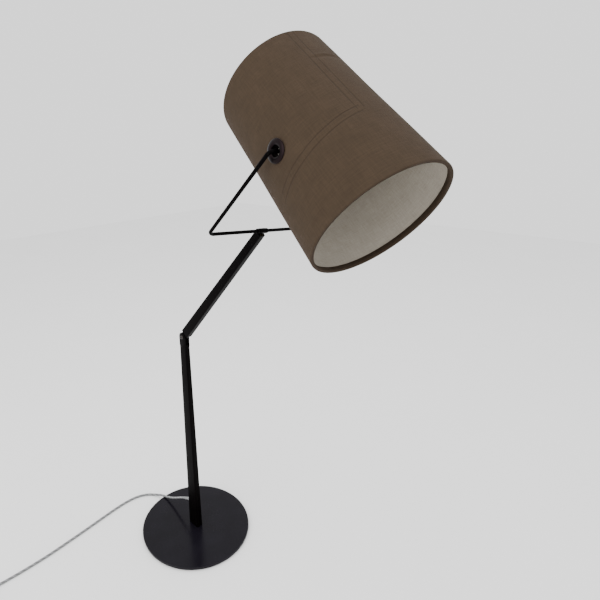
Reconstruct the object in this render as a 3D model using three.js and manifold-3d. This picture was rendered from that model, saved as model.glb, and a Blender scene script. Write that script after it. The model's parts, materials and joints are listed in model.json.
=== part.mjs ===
// A tall articulated desk lamp: a round steel foot, a tapered box stem, a tapered box arm on an elbow,
// a bent tube fork that swivels and tilts at the arm's tip, and a tapered fabric shade that tilts
// between the fork's prongs on two large eyelets. Millimetres and degrees, +Z up. The origin is the
// centre of the foot on the desk, and the arm leans towards +X.
import * as THREE from 'three';
import { mergeVertices } from 'three/addons/utils/BufferGeometryUtils.js';
import Module from 'manifold-3d';

const wasm = await Module();
wasm.setup();

// ---------------------------------------------------------------- driving dimensions
const TOUCH = 0.3; // gap between pieces that touch
const RUNNING = 0.15; // radial clearance of a pin or screw in its hole

const PAD_RADIUS = 119;
const PAD_THICKNESS = 1.5;
const PLATE_RADIUS = 125;
const PLATE_THICKNESS = 6;
const PLATE_CHAMFER = 0.8;

const ELBOW_HEIGHT = 489;
const STEM_FOOT = [30, 15]; // depth along X and width along Y of the stem's box at the foot
const STEM_TOP = [19.4, 11]; // and at the top
const STEM_WALL = 1.5;
const FOOT_BLOCK_HEIGHT = 30;
const FOOT_SCREW_RADIUS = 2.5;
const FOOT_SCREW_HEAD_RADIUS = 4.8;
const FOOT_SCREW_SPACING = 14;

const ARM_LENGTH = 336; // from the elbow's pin to the fork's bar
const ARM_ELEVATION = 47.9; // degrees above the horizontal
const ARM_ROOT = [19.6, 13];
const ARM_TIP = [13.4, 12];
const ARM_WALL = 1.5;
const ARM_START = 13.5; // from the elbow's pin to the arm's open end

const KNUCKLE_PLUG = 22; // how far a knuckle reaches into its box
const TONGUE_THICKNESS = 4.2;
const TONGUE_RADIUS = 8.6;
const ELBOW_PIN_RADIUS = 2.5;
const ELBOW_HEAD_RADIUS = 4.4;
const ELBOW_HEAD_HEIGHT = 2.4;
const ELBOW_NUT_RADIUS = 4.6;
const ELBOW_NUT_HEIGHT = 4;
const WASHER_THICKNESS = 0.8;
const WASHER_RADIUS = 7.6;

const HEAD_TWIST = -7.4; // turn of the tee about the arm's length
const TEE_NECK = 4.6; // from the arm's end to the fork's bar
const TEE_SPIGOT_RADIUS = 2;
const TEE_SPIGOT_LENGTH = 24;
const TEE_SLEEVE_RADIUS = 4.2;
const TEE_SLEEVE_LENGTH = 12;
const TIP_BUSH_LENGTH = 19;
const CLIP_THICKNESS = 0.8;
const CLIP_RADIUS = 3.1;
const GRUB_RADIUS = 1.2;

const ROD_RADIUS = 2.7;
const ROD_BORE = 1.9;
const FORK_ELEVATION = 43.6; // degrees, of the prongs
const FORK_LENGTH = 170; // from the bar to the eyelets' axis
const FORK_CLEARANCE = 10.4; // from the canvas at the eyelets to a prong's middle
const BAR_BEND = 9;
const EYELET_BEND = 8;
const COLLAR_RADIUS = 4;
const COLLAR_LENGTH = 4;

const SHADE_ELEVATION = -40.1; // degrees, of the shade's axis towards its opening
const SHADE_ABOVE = 141; // from the eyelets' axis to the closed side's rim
const SHADE_BELOW = 123; // and to the opening's rim
const SHADE_TOP_RADIUS = 85.8;
const SHADE_OPENING_RADIUS = 97.6;
const FABRIC_THICKNESS = 1;
const LINING_THICKNESS = 0.6;
const RING_WIRE_RADIUS = 1.6;
const EYELET_RADIUS = 15;
const EYELET_HOLE_RADIUS = 7;
const EYELET_BARREL_WALL = 1;
const EYELET_WASHER_RADIUS = 13.5;

const BRIDGE_THICKNESS = 1.8;
const BRIDGE_WIDTH = 18;
const BRIDGE_RISE = 52; // from the eyelets' axis up to the bridge's strip
const PIVOT_LENGTH = 10;
const PIVOT_RADIUS = 9.5;
const NIPPLE_RADIUS = 5;
const NIPPLE_BORE = 3.5;
const HOLDER_RADIUS = 19;
const HOLDER_WALL = 1.6;
const HOLDER_CAP_LENGTH = 15;
const HOLDER_SKIRT_LENGTH = 28;
const BULB_RADIUS = 27.5;
const BULB_LENGTH = 62;
const BULB_BASE_RADIUS = 13;
const BULB_BASE_LENGTH = 24;
const BULB_WALL = 0.9;

const CORD_RADIUS = 2.6;
const CORD_EXIT_HEIGHT = 64;
const CORD_DROOP = 27; // degrees below the horizontal
const GLAND_RADIUS = 6;
const GLAND_BARREL_RADIUS = 4.4;
const GLAND_FLANGE = 1.4;
const SLEEVE_RADIUS = 4.1;
const SLEEVE_LENGTH = 22;
const LEAD_RADIUS = 2;

const SWITCH_LENGTH = 62;
const SWITCH_WIDTH = 24;
const SWITCH_HEIGHT = 15;
const SWITCH_WALL = 1.6;
const ROCKER_LENGTH = 19;
const ROCKER_WIDTH = 8.4;
const ROCKER_TILT = 8;
const COIL_MEAN_RADIUS = 30;
const PLUG_LENGTH = 36;
const PLUG_WIDTH = 26;
const PLUG_HEIGHT = 13.6;
const PIN_RADIUS = 2;
const PIN_LENGTH = 19;
const PIN_SPACING = 19;

// The cord's route, laid by hand: from the tapered sleeve down to the foot's edge, over it and along
// the desk to the switch, then from the switch to the coil, and from the coil to the plug.
const CORD_ROUTE = [
  [-49.5, 0, 48.5], [-60, -0.2, 42], [-72, -0.6, 34.2], [-84, -1.2, 26.8], [-97, -2, 19.8],
  [-110, -3, 14.4], [-121, -4.4, 11.4], [-132, -6.8, 8.6], [-144, -11, 5.2], [-155, -17.5, 3.1],
  [-165, -27, 2.8], [-173, -40, 2.8], [-178.5, -57, 2.8], [-181, -80, 2.8], [-180, -110, 2.8],
  [-176, -150, 2.8], [-171, -195, 2.8], [-166, -245, 2.8], [-162, -295, 2.8], [-161, -342, 2.8],
  [-162, -385, 2.9], [-162, -408, 4.6], [-162, -421.1, 6.6],
];
const CORD_TO_COIL = [[-162, -484.9, 6.6], [-162, -492, 6], [-162, -501, 4], [-162, -509.6, 2.9]];
const CORD_TO_PLUG = [[-103.5, -565.2, 2.9], [-96, -565.2, 4], [-88, -565.2, 6], [-81.9, -565.2, 6.6]];
const SWITCH_PLACE = [-162, -453];
const COIL_PLACE = [-126.8, -530];
const PLUG_PLACE = [-63, -565.2];

// ---------------------------------------------------------------- finishes
function finish(color, roughness, metalness, extra = {}) {
  return new THREE.MeshStandardMaterial({ color, roughness, metalness, ...extra });
}
const blackPaint = finish(0x17151a, 0.45, 0.6);
const platePaint = finish(0x2a282e, 0.5, 0.5);
const gunmetal = finish(0x3a3431, 0.35, 0.9);
const steel = finish(0x9a9a9c, 0.35, 1);
const brass = finish(0xb08d4a, 0.35, 1);
const canvas = finish(0x584a3a, 0.95, 0);
const liningCloth = finish(0xb3ac9f, 0.9, 0);
const opalGlass = finish(0xf2f0ea, 0.3, 0);
const blackPlastic = finish(0x1b1b1c, 0.5, 0);
const whiteNylon = finish(0xb8b4ac, 0.6, 0);
const clearPvc = finish(0xc9cbcc, 0.3, 0);
const rubber = finish(0x222222, 0.9, 0);

// ---------------------------------------------------------------- shapes
const deg = THREE.MathUtils.degToRad;

/** The closed solid of a geometry, its shared vertices merged and its faces pointing out. */
function solidOf(geometry) {
  const bare = geometry.clone();
  bare.deleteAttribute('normal');
  bare.deleteAttribute('uv');
  const merged = mergeVertices(bare, 1e-4);
  const place = merged.attributes.position.array;
  const corners = merged.index.array;
  const triangles = [];
  let volume = 0;
  const [a, b, c] = [new THREE.Vector3(), new THREE.Vector3(), new THREE.Vector3()];
  for (let i = 0; i < corners.length; i += 3) {
    const [i0, i1, i2] = corners.subarray(i, i + 3);
    if (i0 === i1 || i1 === i2 || i2 === i0) continue;
    triangles.push([i0, i1, i2]);
    a.fromArray(place, 3 * i0);
    b.fromArray(place, 3 * i1);
    c.fromArray(place, 3 * i2);
    volume += a.dot(b.cross(c));
  }
  const turned = volume < 0 ? triangles.map(([p, q, r]) => [p, r, q]) : triangles;
  return new wasm.Manifold(new wasm.Mesh({
    numProp: 3,
    vertProperties: new Float32Array(place),
    triVerts: new Uint32Array(turned.flat()),
  }));
}

/** A first shape less all the others. */
function cut(first, ...others) {
  let solid = asSolid(first);
  for (const other of others) solid = solid.subtract(asSolid(other));
  return solid;
}

/** All the shapes as one. */
function join(first, ...others) {
  let solid = asSolid(first);
  for (const other of others) solid = solid.add(asSolid(other));
  return solid;
}

function asSolid(shape) {
  return shape.isBufferGeometry ? solidOf(shape) : shape;
}

function geometryOf(shape) {
  const mesh = asSolid(shape).getMesh();
  const geometry = new THREE.BufferGeometry();
  geometry.setAttribute('position', new THREE.BufferAttribute(mesh.vertProperties.slice(), 3));
  geometry.setIndex(new THREE.BufferAttribute(mesh.triVerts.slice(), 1));
  geometry.computeVertexNormals();
  return geometry;
}

/** Adds a named piece to a group. */
function piece(group, name, shape, material) {
  const mesh = new THREE.Mesh(geometryOf(shape), material);
  mesh.name = name;
  group.add(mesh);
  return mesh;
}

/** A block centred on x and y, from z0 to z1. */
function block(width, depth, z0, z1, x = 0, y = 0) {
  return new THREE.BoxGeometry(width, depth, z1 - z0).translate(x, y, (z0 + z1) / 2);
}

/** A block whose section follows sizeAt(z), less an inset all round. */
function taperedBlock(sizeAt, z0, z1, inset = 0) {
  const geometry = new THREE.BoxGeometry(1, 1, 1);
  const place = geometry.attributes.position;
  for (let i = 0; i < place.count; i += 1) {
    const z = place.getZ(i) > 0 ? z1 : z0;
    const [width, depth] = sizeAt(z);
    place.setXYZ(i, place.getX(i) * (width - 2 * inset), place.getY(i) * (depth - 2 * inset), z);
  }
  return geometry;
}

/** A linear taper from one section at z0 to another at z1. */
function taper(first, last, z0, z1) {
  return (z) => first.map((size, k) => size + ((last[k] - size) * (z - z0)) / (z1 - z0));
}

/** A turned piece: [radius, z] points round the Z axis, on the axis at both ends or closed. */
function turned(profile, segments = 32) {
  const points = profile.map(([r, z]) => new THREE.Vector2(r, z));
  const first = points[0];
  const last = points[points.length - 1];
  if (first.x > 0 || last.x > 0) points.push(first.clone());
  return new THREE.LatheGeometry(points, segments).rotateX(Math.PI / 2);
}

/** A plain ring or tube round the Z axis. */
function ring(inner, outer, z0, z1, segments = 32) {
  return turned([[inner, z0], [outer, z0], [outer, z1], [inner, z1]], segments);
}

/** A plain round bar round the Z axis. */
function bar(radius, z0, z1, segments = 24) {
  return new THREE.CylinderGeometry(radius, radius, z1 - z0, segments)
    .rotateX(Math.PI / 2).translate(0, 0, (z0 + z1) / 2);
}

const alongX = (geometry) => geometry.rotateY(Math.PI / 2); // +Z turns to +X
const alongMinusX = (geometry) => geometry.rotateY(-Math.PI / 2);
const alongY = (geometry) => geometry.rotateX(-Math.PI / 2); // +Z turns to +Y
const alongMinusY = (geometry) => geometry.rotateX(Math.PI / 2);

/** A flat outline in X and Z, given as a THREE.Shape of (x, z), centred on Y. */
function slab(outline, thickness) {
  return new THREE.ExtrudeGeometry(outline, { depth: thickness, bevelEnabled: false, curveSegments: 16 })
    .rotateX(Math.PI / 2).translate(0, thickness / 2, 0);
}

/** The shape of a rounded rectangle. */
function roundedOutline(width, height, radius) {
  const [x, y] = [width / 2, height / 2];
  const shape = new THREE.Shape();
  shape.moveTo(-x + radius, -y);
  shape.lineTo(x - radius, -y);
  shape.absarc(x - radius, -y + radius, radius, -Math.PI / 2, 0);
  shape.lineTo(x, y - radius);
  shape.absarc(x - radius, y - radius, radius, 0, Math.PI / 2);
  shape.lineTo(-x + radius, y);
  shape.absarc(-x + radius, y - radius, radius, Math.PI / 2, Math.PI);
  shape.lineTo(-x, -y + radius);
  shape.absarc(-x + radius, -y + radius, radius, Math.PI, 1.5 * Math.PI);
  return shape;
}

/** An outline with a round end of the given radius below and square sides up to height. */
function tongueOutline(radius, height) {
  const shape = new THREE.Shape();
  shape.moveTo(radius, 0);
  shape.lineTo(radius, height);
  shape.lineTo(-radius, height);
  shape.lineTo(-radius, 0);
  shape.absarc(0, 0, radius, Math.PI, 2 * Math.PI);
  return shape;
}

function circle(radius, sides) {
  const points = Array.from({ length: sides }, (_, k) => {
    const angle = (2 * Math.PI * k) / sides;
    return new THREE.Vector2(radius * Math.cos(angle), radius * Math.sin(angle));
  });
  return new THREE.Shape(points);
}

/** A wire of straight runs with a round bend at each inner corner. */
class BentWire extends THREE.Curve {
  constructor(corners, radii, bendSteps = 6) {
    super();
    this.stops = [{ point: corners[0], tangent: direction(corners[0], corners[1]) }];
    for (let i = 1; i < corners.length - 1; i += 1) {
      const before = direction(corners[i - 1], corners[i]);
      const after = direction(corners[i], corners[i + 1]);
      const half = before.angleTo(after) / 2;
      const start = corners[i].clone().addScaledVector(before, -radii[i - 1] * Math.tan(half));
      const inward = after.clone().addScaledVector(before, -after.dot(before)).normalize();
      for (let k = 0; k <= bendSteps; k += 1) {
        const turn = (2 * half * k) / bendSteps;
        this.stops.push({
          point: start.clone().addScaledVector(before, radii[i - 1] * Math.sin(turn))
            .addScaledVector(inward, radii[i - 1] * (1 - Math.cos(turn))),
          tangent: before.clone().multiplyScalar(Math.cos(turn)).addScaledVector(inward, Math.sin(turn)),
        });
      }
    }
    const last = corners.length - 1;
    this.stops.push({ point: corners[last], tangent: direction(corners[last - 1], corners[last]) });
  }

  get steps() {
    return this.stops.length - 1;
  }

  getPointAt(u) {
    return this.stops[Math.round(u * this.steps)].point.clone();
  }

  getTangentAt(u) {
    return this.stops[Math.round(u * this.steps)].tangent.clone().normalize();
  }
}

function direction(from, to) {
  return to.clone().sub(from).normalize();
}

/** A tube or bar of the given section along a curve. */
function swept(section, curve, steps) {
  return new THREE.ExtrudeGeometry(section, { steps, extrudePath: curve, bevelEnabled: false });
}

function vectors(points) {
  return points.map((point) => new THREE.Vector3(...point));
}

function cordTube(points, steps) {
  return swept(circle(CORD_RADIUS, 10), new THREE.CatmullRomCurve3(vectors(points), false, 'centripetal'), steps);
}

// ---------------------------------------------------------------- foot
const lamp = new THREE.Group();

const plateBottom = PAD_THICKNESS + TOUCH;
const plateTop = plateBottom + PLATE_THICKNESS;
const stemBottom = plateTop + TOUCH;
const slotDepth = ARM_START + 3;
const stemTop = ELBOW_HEIGHT - slotDepth - 4;
const stemSize = taper(STEM_FOOT, STEM_TOP, stemBottom, stemTop);

function buildFoot() {
  const screwPlaces = [FOOT_SCREW_SPACING / 2, -FOOT_SCREW_SPACING / 2];
  const headDrop = FOOT_SCREW_HEAD_RADIUS - FOOT_SCREW_RADIUS;
  const headBottom = plateBottom + 0.4;
  const shankTop = stemBottom + FOOT_BLOCK_HEIGHT - 5;
  const screwProfile = (more) => [
    [0, headBottom - (more ? 1 : 0)],
    [FOOT_SCREW_HEAD_RADIUS + more, headBottom - (more ? 1 : 0)],
    [FOOT_SCREW_HEAD_RADIUS + more, headBottom + 0.4],
    [FOOT_SCREW_RADIUS + more, headBottom + 0.4 + headDrop],
    [FOOT_SCREW_RADIUS + more, shankTop + 4 * more],
    [0, shankTop + 4 * more],
  ];
  const screws = screwPlaces.map((x) => turned(screwProfile(0), 20).translate(x, 0, 0));
  const holes = screwPlaces.map((x) => turned(screwProfile(RUNNING), 20).translate(x, 0, 0));

  piece(lamp, 'base_pad', turned([[0, 0], [PAD_RADIUS, 0], [PAD_RADIUS, PAD_THICKNESS], [0, PAD_THICKNESS]], 64), rubber);
  const plate = turned([
    [0, plateBottom],
    [PLATE_RADIUS - PLATE_CHAMFER, plateBottom],
    [PLATE_RADIUS, plateBottom + PLATE_CHAMFER],
    [PLATE_RADIUS, plateTop - PLATE_CHAMFER],
    [PLATE_RADIUS - PLATE_CHAMFER, plateTop],
    [0, plateTop],
  ], 72);
  piece(lamp, 'base_plate', cut(plate, ...holes), platePaint);
  const footBlock = taperedBlock(stemSize, stemBottom, stemBottom + FOOT_BLOCK_HEIGHT, STEM_WALL + TOUCH);
  piece(lamp, 'stem_foot_block', cut(footBlock, ...holes), steel);
  piece(lamp, 'foot_screw_front', screws[0], steel);
  piece(lamp, 'foot_screw_rear', screws[1], steel);
}

// ---------------------------------------------------------------- stem and its cord outlet
const stemBack = -stemSize(CORD_EXIT_HEIGHT)[0] / 2;
const sleeveButt = [stemBack - 2 * TOUCH - GLAND_FLANGE - SLEEVE_RADIUS, 0, CORD_EXIT_HEIGHT];

function buildStem() {
  const glandHole = alongX(bar(GLAND_BARREL_RADIUS + RUNNING, stemBack - 5, 0)).translate(0, 0, CORD_EXIT_HEIGHT);
  piece(lamp, 'stem', cut(
    taperedBlock(stemSize, stemBottom, stemTop),
    taperedBlock(stemSize, stemBottom - 1, stemTop + 1, STEM_WALL),
    glandHole,
  ), blackPaint);

  const inner = STEM_WALL + 2.5;
  const gland = alongMinusX(turned([
    [CORD_RADIUS + RUNNING, -inner],
    [GLAND_BARREL_RADIUS, -inner],
    [GLAND_BARREL_RADIUS, TOUCH],
    [GLAND_RADIUS, TOUCH],
    [GLAND_RADIUS - 0.6, TOUCH + GLAND_FLANGE],
    [CORD_RADIUS + RUNNING, TOUCH + GLAND_FLANGE],
  ], 24)).translate(stemBack, 0, CORD_EXIT_HEIGHT);
  piece(lamp, 'cord_gland', gland, blackPlastic);

  const butt = Array.from({ length: 5 }, (_, k) => [
    SLEEVE_RADIUS * Math.sin((Math.PI * k) / 8),
    -SLEEVE_RADIUS * Math.cos((Math.PI * k) / 8),
  ]);
  butt[0][0] = 0;
  const sleeve = turned([...butt, [CORD_RADIUS + 0.5, SLEEVE_LENGTH], [0, SLEEVE_LENGTH]], 16);
  sleeve.rotateY(deg(-90 - CORD_DROOP)).translate(...sleeveButt);
  piece(lamp, 'cord_sleeve', sleeve, clearPvc);

  const leadRoute = vectors([
    [stemBack + inner + TOUCH, 0, CORD_EXIT_HEIGHT],
    [0, 0, CORD_EXIT_HEIGHT],
    [0, 0, stemTop - KNUCKLE_PLUG - TOUCH],
  ]);
  const leadWire = new BentWire(leadRoute, [7], 5);
  piece(lamp, 'stem_lead', swept(circle(LEAD_RADIUS, 8), leadWire, leadWire.steps), clearPvc);
}

// ---------------------------------------------------------------- elbow
const slotWidth = TONGUE_THICKNESS + 2 * WASHER_THICKNESS + 4 * RUNNING;

function buildElbow() {
  const [depth, width] = STEM_TOP;
  const cheeks = slab(tongueOutline(depth / 2, slotDepth + 4 - TOUCH), width)
    .rotateX(Math.PI).translate(0, 0, ELBOW_HEIGHT);
  const plug = taperedBlock(stemSize, stemTop - KNUCKLE_PLUG, stemTop + 2, STEM_WALL + TOUCH);
  const slot = block(depth + 2, slotWidth, ELBOW_HEIGHT - slotDepth, ELBOW_HEIGHT + depth);
  const pinHole = alongY(bar(ELBOW_PIN_RADIUS + RUNNING, -width, width)).translate(0, 0, ELBOW_HEIGHT);
  const leadHole = bar(LEAD_RADIUS + 0.5, stemTop - KNUCKLE_PLUG - 1, ELBOW_HEIGHT - slotDepth + 1, 16);
  piece(lamp, 'stem_knuckle', cut(join(cheeks, plug), slot, pinHole, leadHole), blackPaint);

  const washer = ring(ELBOW_PIN_RADIUS + RUNNING, WASHER_RADIUS, 0, WASHER_THICKNESS, 24);
  const washerFace = TONGUE_THICKNESS / 2 + RUNNING;
  piece(lamp, 'elbow_washer_left', alongMinusY(washer.clone()).translate(0, -washerFace, ELBOW_HEIGHT), whiteNylon);
  piece(lamp, 'elbow_washer_right', alongY(washer.clone()).translate(0, washerFace, ELBOW_HEIGHT), whiteNylon);

  const face = width / 2 + RUNNING;
  const boltEnd = face + ELBOW_NUT_HEIGHT + 1;
  const bolt = alongMinusY(turned([
    [0, -boltEnd],
    [ELBOW_PIN_RADIUS, -boltEnd],
    [ELBOW_PIN_RADIUS, face],
    [ELBOW_HEAD_RADIUS, face],
    [ELBOW_HEAD_RADIUS, face + ELBOW_HEAD_HEIGHT * 0.45],
    [ELBOW_HEAD_RADIUS * 0.72, face + ELBOW_HEAD_HEIGHT],
    [ELBOW_PIN_RADIUS * 0.6, face + ELBOW_HEAD_HEIGHT],
    [ELBOW_PIN_RADIUS * 0.6, face + ELBOW_HEAD_HEIGHT * 0.4],
    [0, face + ELBOW_HEAD_HEIGHT * 0.4],
  ], 24)).translate(0, 0, ELBOW_HEIGHT);
  piece(lamp, 'elbow_bolt', bolt, steel);
  const nut = cut(bar(ELBOW_NUT_RADIUS, face, face + ELBOW_NUT_HEIGHT, 6), bar(ELBOW_PIN_RADIUS + RUNNING, 0, boltEnd + 1));
  const nutMesh = piece(lamp, 'elbow_nut', nut, steel);
  nutMesh.rotation.x = -Math.PI / 2;
  nutMesh.position.z = ELBOW_HEIGHT;
}

// ---------------------------------------------------------------- arm
const armEnd = ARM_LENGTH - TEE_NECK;
const armSize = taper(ARM_ROOT, ARM_TIP, ARM_START, armEnd);
const arm = new THREE.Group();
arm.position.z = ELBOW_HEIGHT;
arm.rotation.y = deg(90 - ARM_ELEVATION);
lamp.add(arm);

function buildArm() {
  piece(arm, 'arm', cut(
    taperedBlock(armSize, ARM_START, armEnd),
    taperedBlock(armSize, ARM_START - 1, armEnd + 1, ARM_WALL),
  ), blackPaint);

  const shoulder = ARM_START - TOUCH;
  const tongue = slab(tongueOutline(TONGUE_RADIUS, shoulder), TONGUE_THICKNESS);
  const plug = taperedBlock(armSize, shoulder - 2, ARM_START + KNUCKLE_PLUG, ARM_WALL + TOUCH);
  const pinHole = alongY(bar(ELBOW_PIN_RADIUS + RUNNING, -TONGUE_THICKNESS, TONGUE_THICKNESS));
  piece(arm, 'arm_knuckle', cut(join(tongue, plug), pinHole), blackPaint);

  const bushStart = armEnd - TIP_BUSH_LENGTH;
  piece(arm, 'arm_lead', bar(LEAD_RADIUS, ARM_START + KNUCKLE_PLUG + TOUCH, bushStart - 8, 8), clearPvc);
  piece(arm, 'arm_tip_bush', cut(
    taperedBlock(armSize, bushStart, armEnd, ARM_WALL + TOUCH),
    bar(TEE_SPIGOT_RADIUS + RUNNING, bushStart - 1, armEnd + 1),
  ), brass);
}

// ---------------------------------------------------------------- tee: swivels about the arm's length
const tee = new THREE.Group();
tee.position.z = ARM_LENGTH;
tee.rotation.z = deg(HEAD_TWIST);
arm.add(tee);

function buildTee() {
  const clipPlace = -TEE_NECK - TIP_BUSH_LENGTH - TOUCH - CLIP_THICKNESS;
  const groove = TEE_SPIGOT_RADIUS - 0.5;
  const shank = turned([
    [0, -TEE_NECK - TEE_SPIGOT_LENGTH],
    [TEE_SPIGOT_RADIUS, -TEE_NECK - TEE_SPIGOT_LENGTH],
    [TEE_SPIGOT_RADIUS, clipPlace - RUNNING],
    [groove, clipPlace - RUNNING],
    [groove, clipPlace + CLIP_THICKNESS + RUNNING],
    [TEE_SPIGOT_RADIUS, clipPlace + CLIP_THICKNESS + RUNNING],
    [TEE_SPIGOT_RADIUS, -TEE_NECK + TOUCH],
    [TEE_SLEEVE_RADIUS, -TEE_NECK + TOUCH],
    [TEE_SLEEVE_RADIUS - 0.8, -ROD_RADIUS],
    [0, -ROD_RADIUS],
  ], 24);
  const sleeve = alongY(bar(TEE_SLEEVE_RADIUS, -TEE_SLEEVE_LENGTH / 2, TEE_SLEEVE_LENGTH / 2, 28));
  const bore = alongY(bar(ROD_RADIUS + RUNNING, -TEE_SLEEVE_LENGTH, TEE_SLEEVE_LENGTH));
  const grubHole = alongX(bar(GRUB_RADIUS + RUNNING, 0, TEE_SLEEVE_RADIUS + 1, 16));
  piece(tee, 'fork_tee', cut(join(shank, sleeve), bore, grubHole), blackPaint);
  piece(tee, 'tee_grub_screw', alongX(bar(GRUB_RADIUS, ROD_RADIUS + TOUCH, TEE_SLEEVE_RADIUS + 0.2, 16)), steel);
  piece(tee, 'swivel_clip', ring(groove + RUNNING, CLIP_RADIUS, clipPlace, clipPlace + CLIP_THICKNESS, 20), steel);
}

// ---------------------------------------------------------------- fork: tilts in the tee
const fork = new THREE.Group();
fork.rotation.y = deg(ARM_ELEVATION - FORK_ELEVATION);
tee.add(fork);

const shadeRadius = (z) => SHADE_TOP_RADIUS
  + ((SHADE_OPENING_RADIUS - SHADE_TOP_RADIUS) * (z + SHADE_ABOVE)) / (SHADE_ABOVE + SHADE_BELOW);
const forkHalfWidth = shadeRadius(0) + FORK_CLEARANCE;
const eyeletFace = shadeRadius(0);
const clothThickness = FABRIC_THICKNESS + TOUCH + LINING_THICKNESS;
const stripInnerRadius = shadeRadius(-BRIDGE_RISE - BRIDGE_THICKNESS) - clothThickness - 2 * TOUCH;
const earOuter = Math.sqrt(stripInnerRadius ** 2 - (BRIDGE_WIDTH / 2) ** 2) - 1;
const earInner = earOuter - BRIDGE_THICKNESS;
const pivotInner = earInner - TOUCH - PIVOT_LENGTH;

function buildFork() {
  const rodEnd = pivotInner - 1;
  const corners = vectors([
    [0, -rodEnd, FORK_LENGTH],
    [0, -forkHalfWidth, FORK_LENGTH],
    [0, -forkHalfWidth, 0],
    [0, forkHalfWidth, 0],
    [0, forkHalfWidth, FORK_LENGTH],
    [0, rodEnd, FORK_LENGTH],
  ]);
  const section = circle(ROD_RADIUS, 10);
  section.holes.push(circle(ROD_BORE, 6));
  const wire = new BentWire(corners, [EYELET_BEND, BAR_BEND, BAR_BEND, EYELET_BEND], 6);
  piece(fork, 'fork_tube', swept(section, wire, wire.steps), blackPaint);

  const collarStart = TEE_SLEEVE_LENGTH / 2 + TOUCH;
  const collar = ring(ROD_RADIUS + RUNNING, COLLAR_RADIUS, collarStart, collarStart + COLLAR_LENGTH, 24);
  piece(fork, 'rod_collar_left', alongMinusY(collar.clone()), blackPaint);
  piece(fork, 'rod_collar_right', alongY(collar.clone()), blackPaint);
}

// ---------------------------------------------------------------- shade: tilts on the eyelets
const shade = new THREE.Group();
shade.position.z = FORK_LENGTH;
shade.rotation.y = deg(FORK_ELEVATION - SHADE_ELEVATION);
fork.add(shade);

/** A tapered shell that follows the shade, from z0 to z1, its outer face an inset inside the cloth. */
function shadeShell(inset, thickness, z0, z1) {
  return turned([
    [shadeRadius(z0) - inset, z0],
    [shadeRadius(z1) - inset, z1],
    [shadeRadius(z1) - inset - thickness, z1],
    [shadeRadius(z0) - inset - thickness, z0],
  ], 56);
}

function buildShadeCloth() {
  const barrelHole = alongY(bar(EYELET_HOLE_RADIUS + EYELET_BARREL_WALL + TOUCH, -2 * eyeletFace, 2 * eyeletFace));
  piece(shade, 'shade_fabric', cut(shadeShell(0, FABRIC_THICKNESS, -SHADE_ABOVE, SHADE_BELOW), barrelHole), canvas);
  const hem = 2 * RING_WIRE_RADIUS + 2 * TOUCH + 0.8;
  piece(shade, 'shade_lining', cut(
    shadeShell(FABRIC_THICKNESS + TOUCH, LINING_THICKNESS, -SHADE_ABOVE + hem, SHADE_BELOW - hem),
    barrelHole,
  ), liningCloth);
  const wire = (z) => {
    const middle = shadeRadius(z) - FABRIC_THICKNESS - RING_WIRE_RADIUS - TOUCH;
    const section = Array.from({ length: 8 }, (_, k) => [
      middle + RING_WIRE_RADIUS * Math.cos((Math.PI * k) / 4),
      z + RING_WIRE_RADIUS * Math.sin((Math.PI * k) / 4),
    ]);
    return turned(section, 48);
  };
  piece(shade, 'top_ring', wire(-SHADE_ABOVE + RING_WIRE_RADIUS + 0.8), steel);
  piece(shade, 'opening_ring', wire(SHADE_BELOW - RING_WIRE_RADIUS - 0.8), steel);
}

function buildEyelets() {
  const barrel = EYELET_HOLE_RADIUS + EYELET_BARREL_WALL;
  const seat = shadeRadius(EYELET_RADIUS) + TOUCH;
  const eyelet = turned([
    [EYELET_HOLE_RADIUS, earInner + TOUCH],
    [barrel, earInner + TOUCH],
    [barrel, seat],
    [EYELET_RADIUS, seat],
    [EYELET_RADIUS - 0.4, seat + 0.8],
    [EYELET_RADIUS - 2, seat + 1.5],
    [EYELET_HOLE_RADIUS + 3, seat + 1.9],
    [EYELET_HOLE_RADIUS + 0.8, seat + 1.5],
    [EYELET_HOLE_RADIUS, seat + 0.6],
  ], 28);
  const clothInside = shadeRadius(-EYELET_WASHER_RADIUS) - clothThickness - TOUCH;
  const washerOut = Math.sqrt(clothInside ** 2 - EYELET_WASHER_RADIUS ** 2) - TOUCH;
  const washer = ring(barrel + RUNNING, EYELET_WASHER_RADIUS, washerOut - 1, washerOut, 28);
  piece(shade, 'eyelet_left', alongMinusY(eyelet.clone()), gunmetal);
  piece(shade, 'eyelet_right', alongY(eyelet.clone()), gunmetal);
  piece(shade, 'eyelet_washer_left', alongMinusY(washer.clone()), gunmetal);
  piece(shade, 'eyelet_washer_right', alongY(washer.clone()), gunmetal);
}

function buildBridge() {
  const stripLow = -BRIDGE_RISE - BRIDGE_THICKNESS;
  const earRadius = EYELET_HOLE_RADIUS + EYELET_BARREL_WALL + TOUCH + 2.5;
  const strip = block(BRIDGE_WIDTH, 2 * earOuter, stripLow, -BRIDGE_RISE);
  const ears = [-1, 1].map((side) => slab(tongueOutline(earRadius, BRIDGE_RISE + BRIDGE_THICKNESS / 2), BRIDGE_THICKNESS)
    .rotateX(Math.PI).translate(0, side * (earOuter + earInner) / 2, 0));
  const barrelHole = alongY(bar(EYELET_HOLE_RADIUS + EYELET_BARREL_WALL + TOUCH, -2 * earOuter, 2 * earOuter));
  const nippleHole = bar(NIPPLE_RADIUS + RUNNING, stripLow - 1, -BRIDGE_RISE + 1);
  piece(shade, 'holder_bridge', cut(join(strip, ...ears), barrelHole, nippleHole), steel);

  const pivot = ring(ROD_RADIUS + RUNNING, PIVOT_RADIUS, pivotInner, pivotInner + PIVOT_LENGTH, 24);
  piece(shade, 'pivot_bush_left', alongMinusY(pivot.clone()), whiteNylon);
  piece(shade, 'pivot_bush_right', alongY(pivot.clone()), whiteNylon);
}

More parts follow.
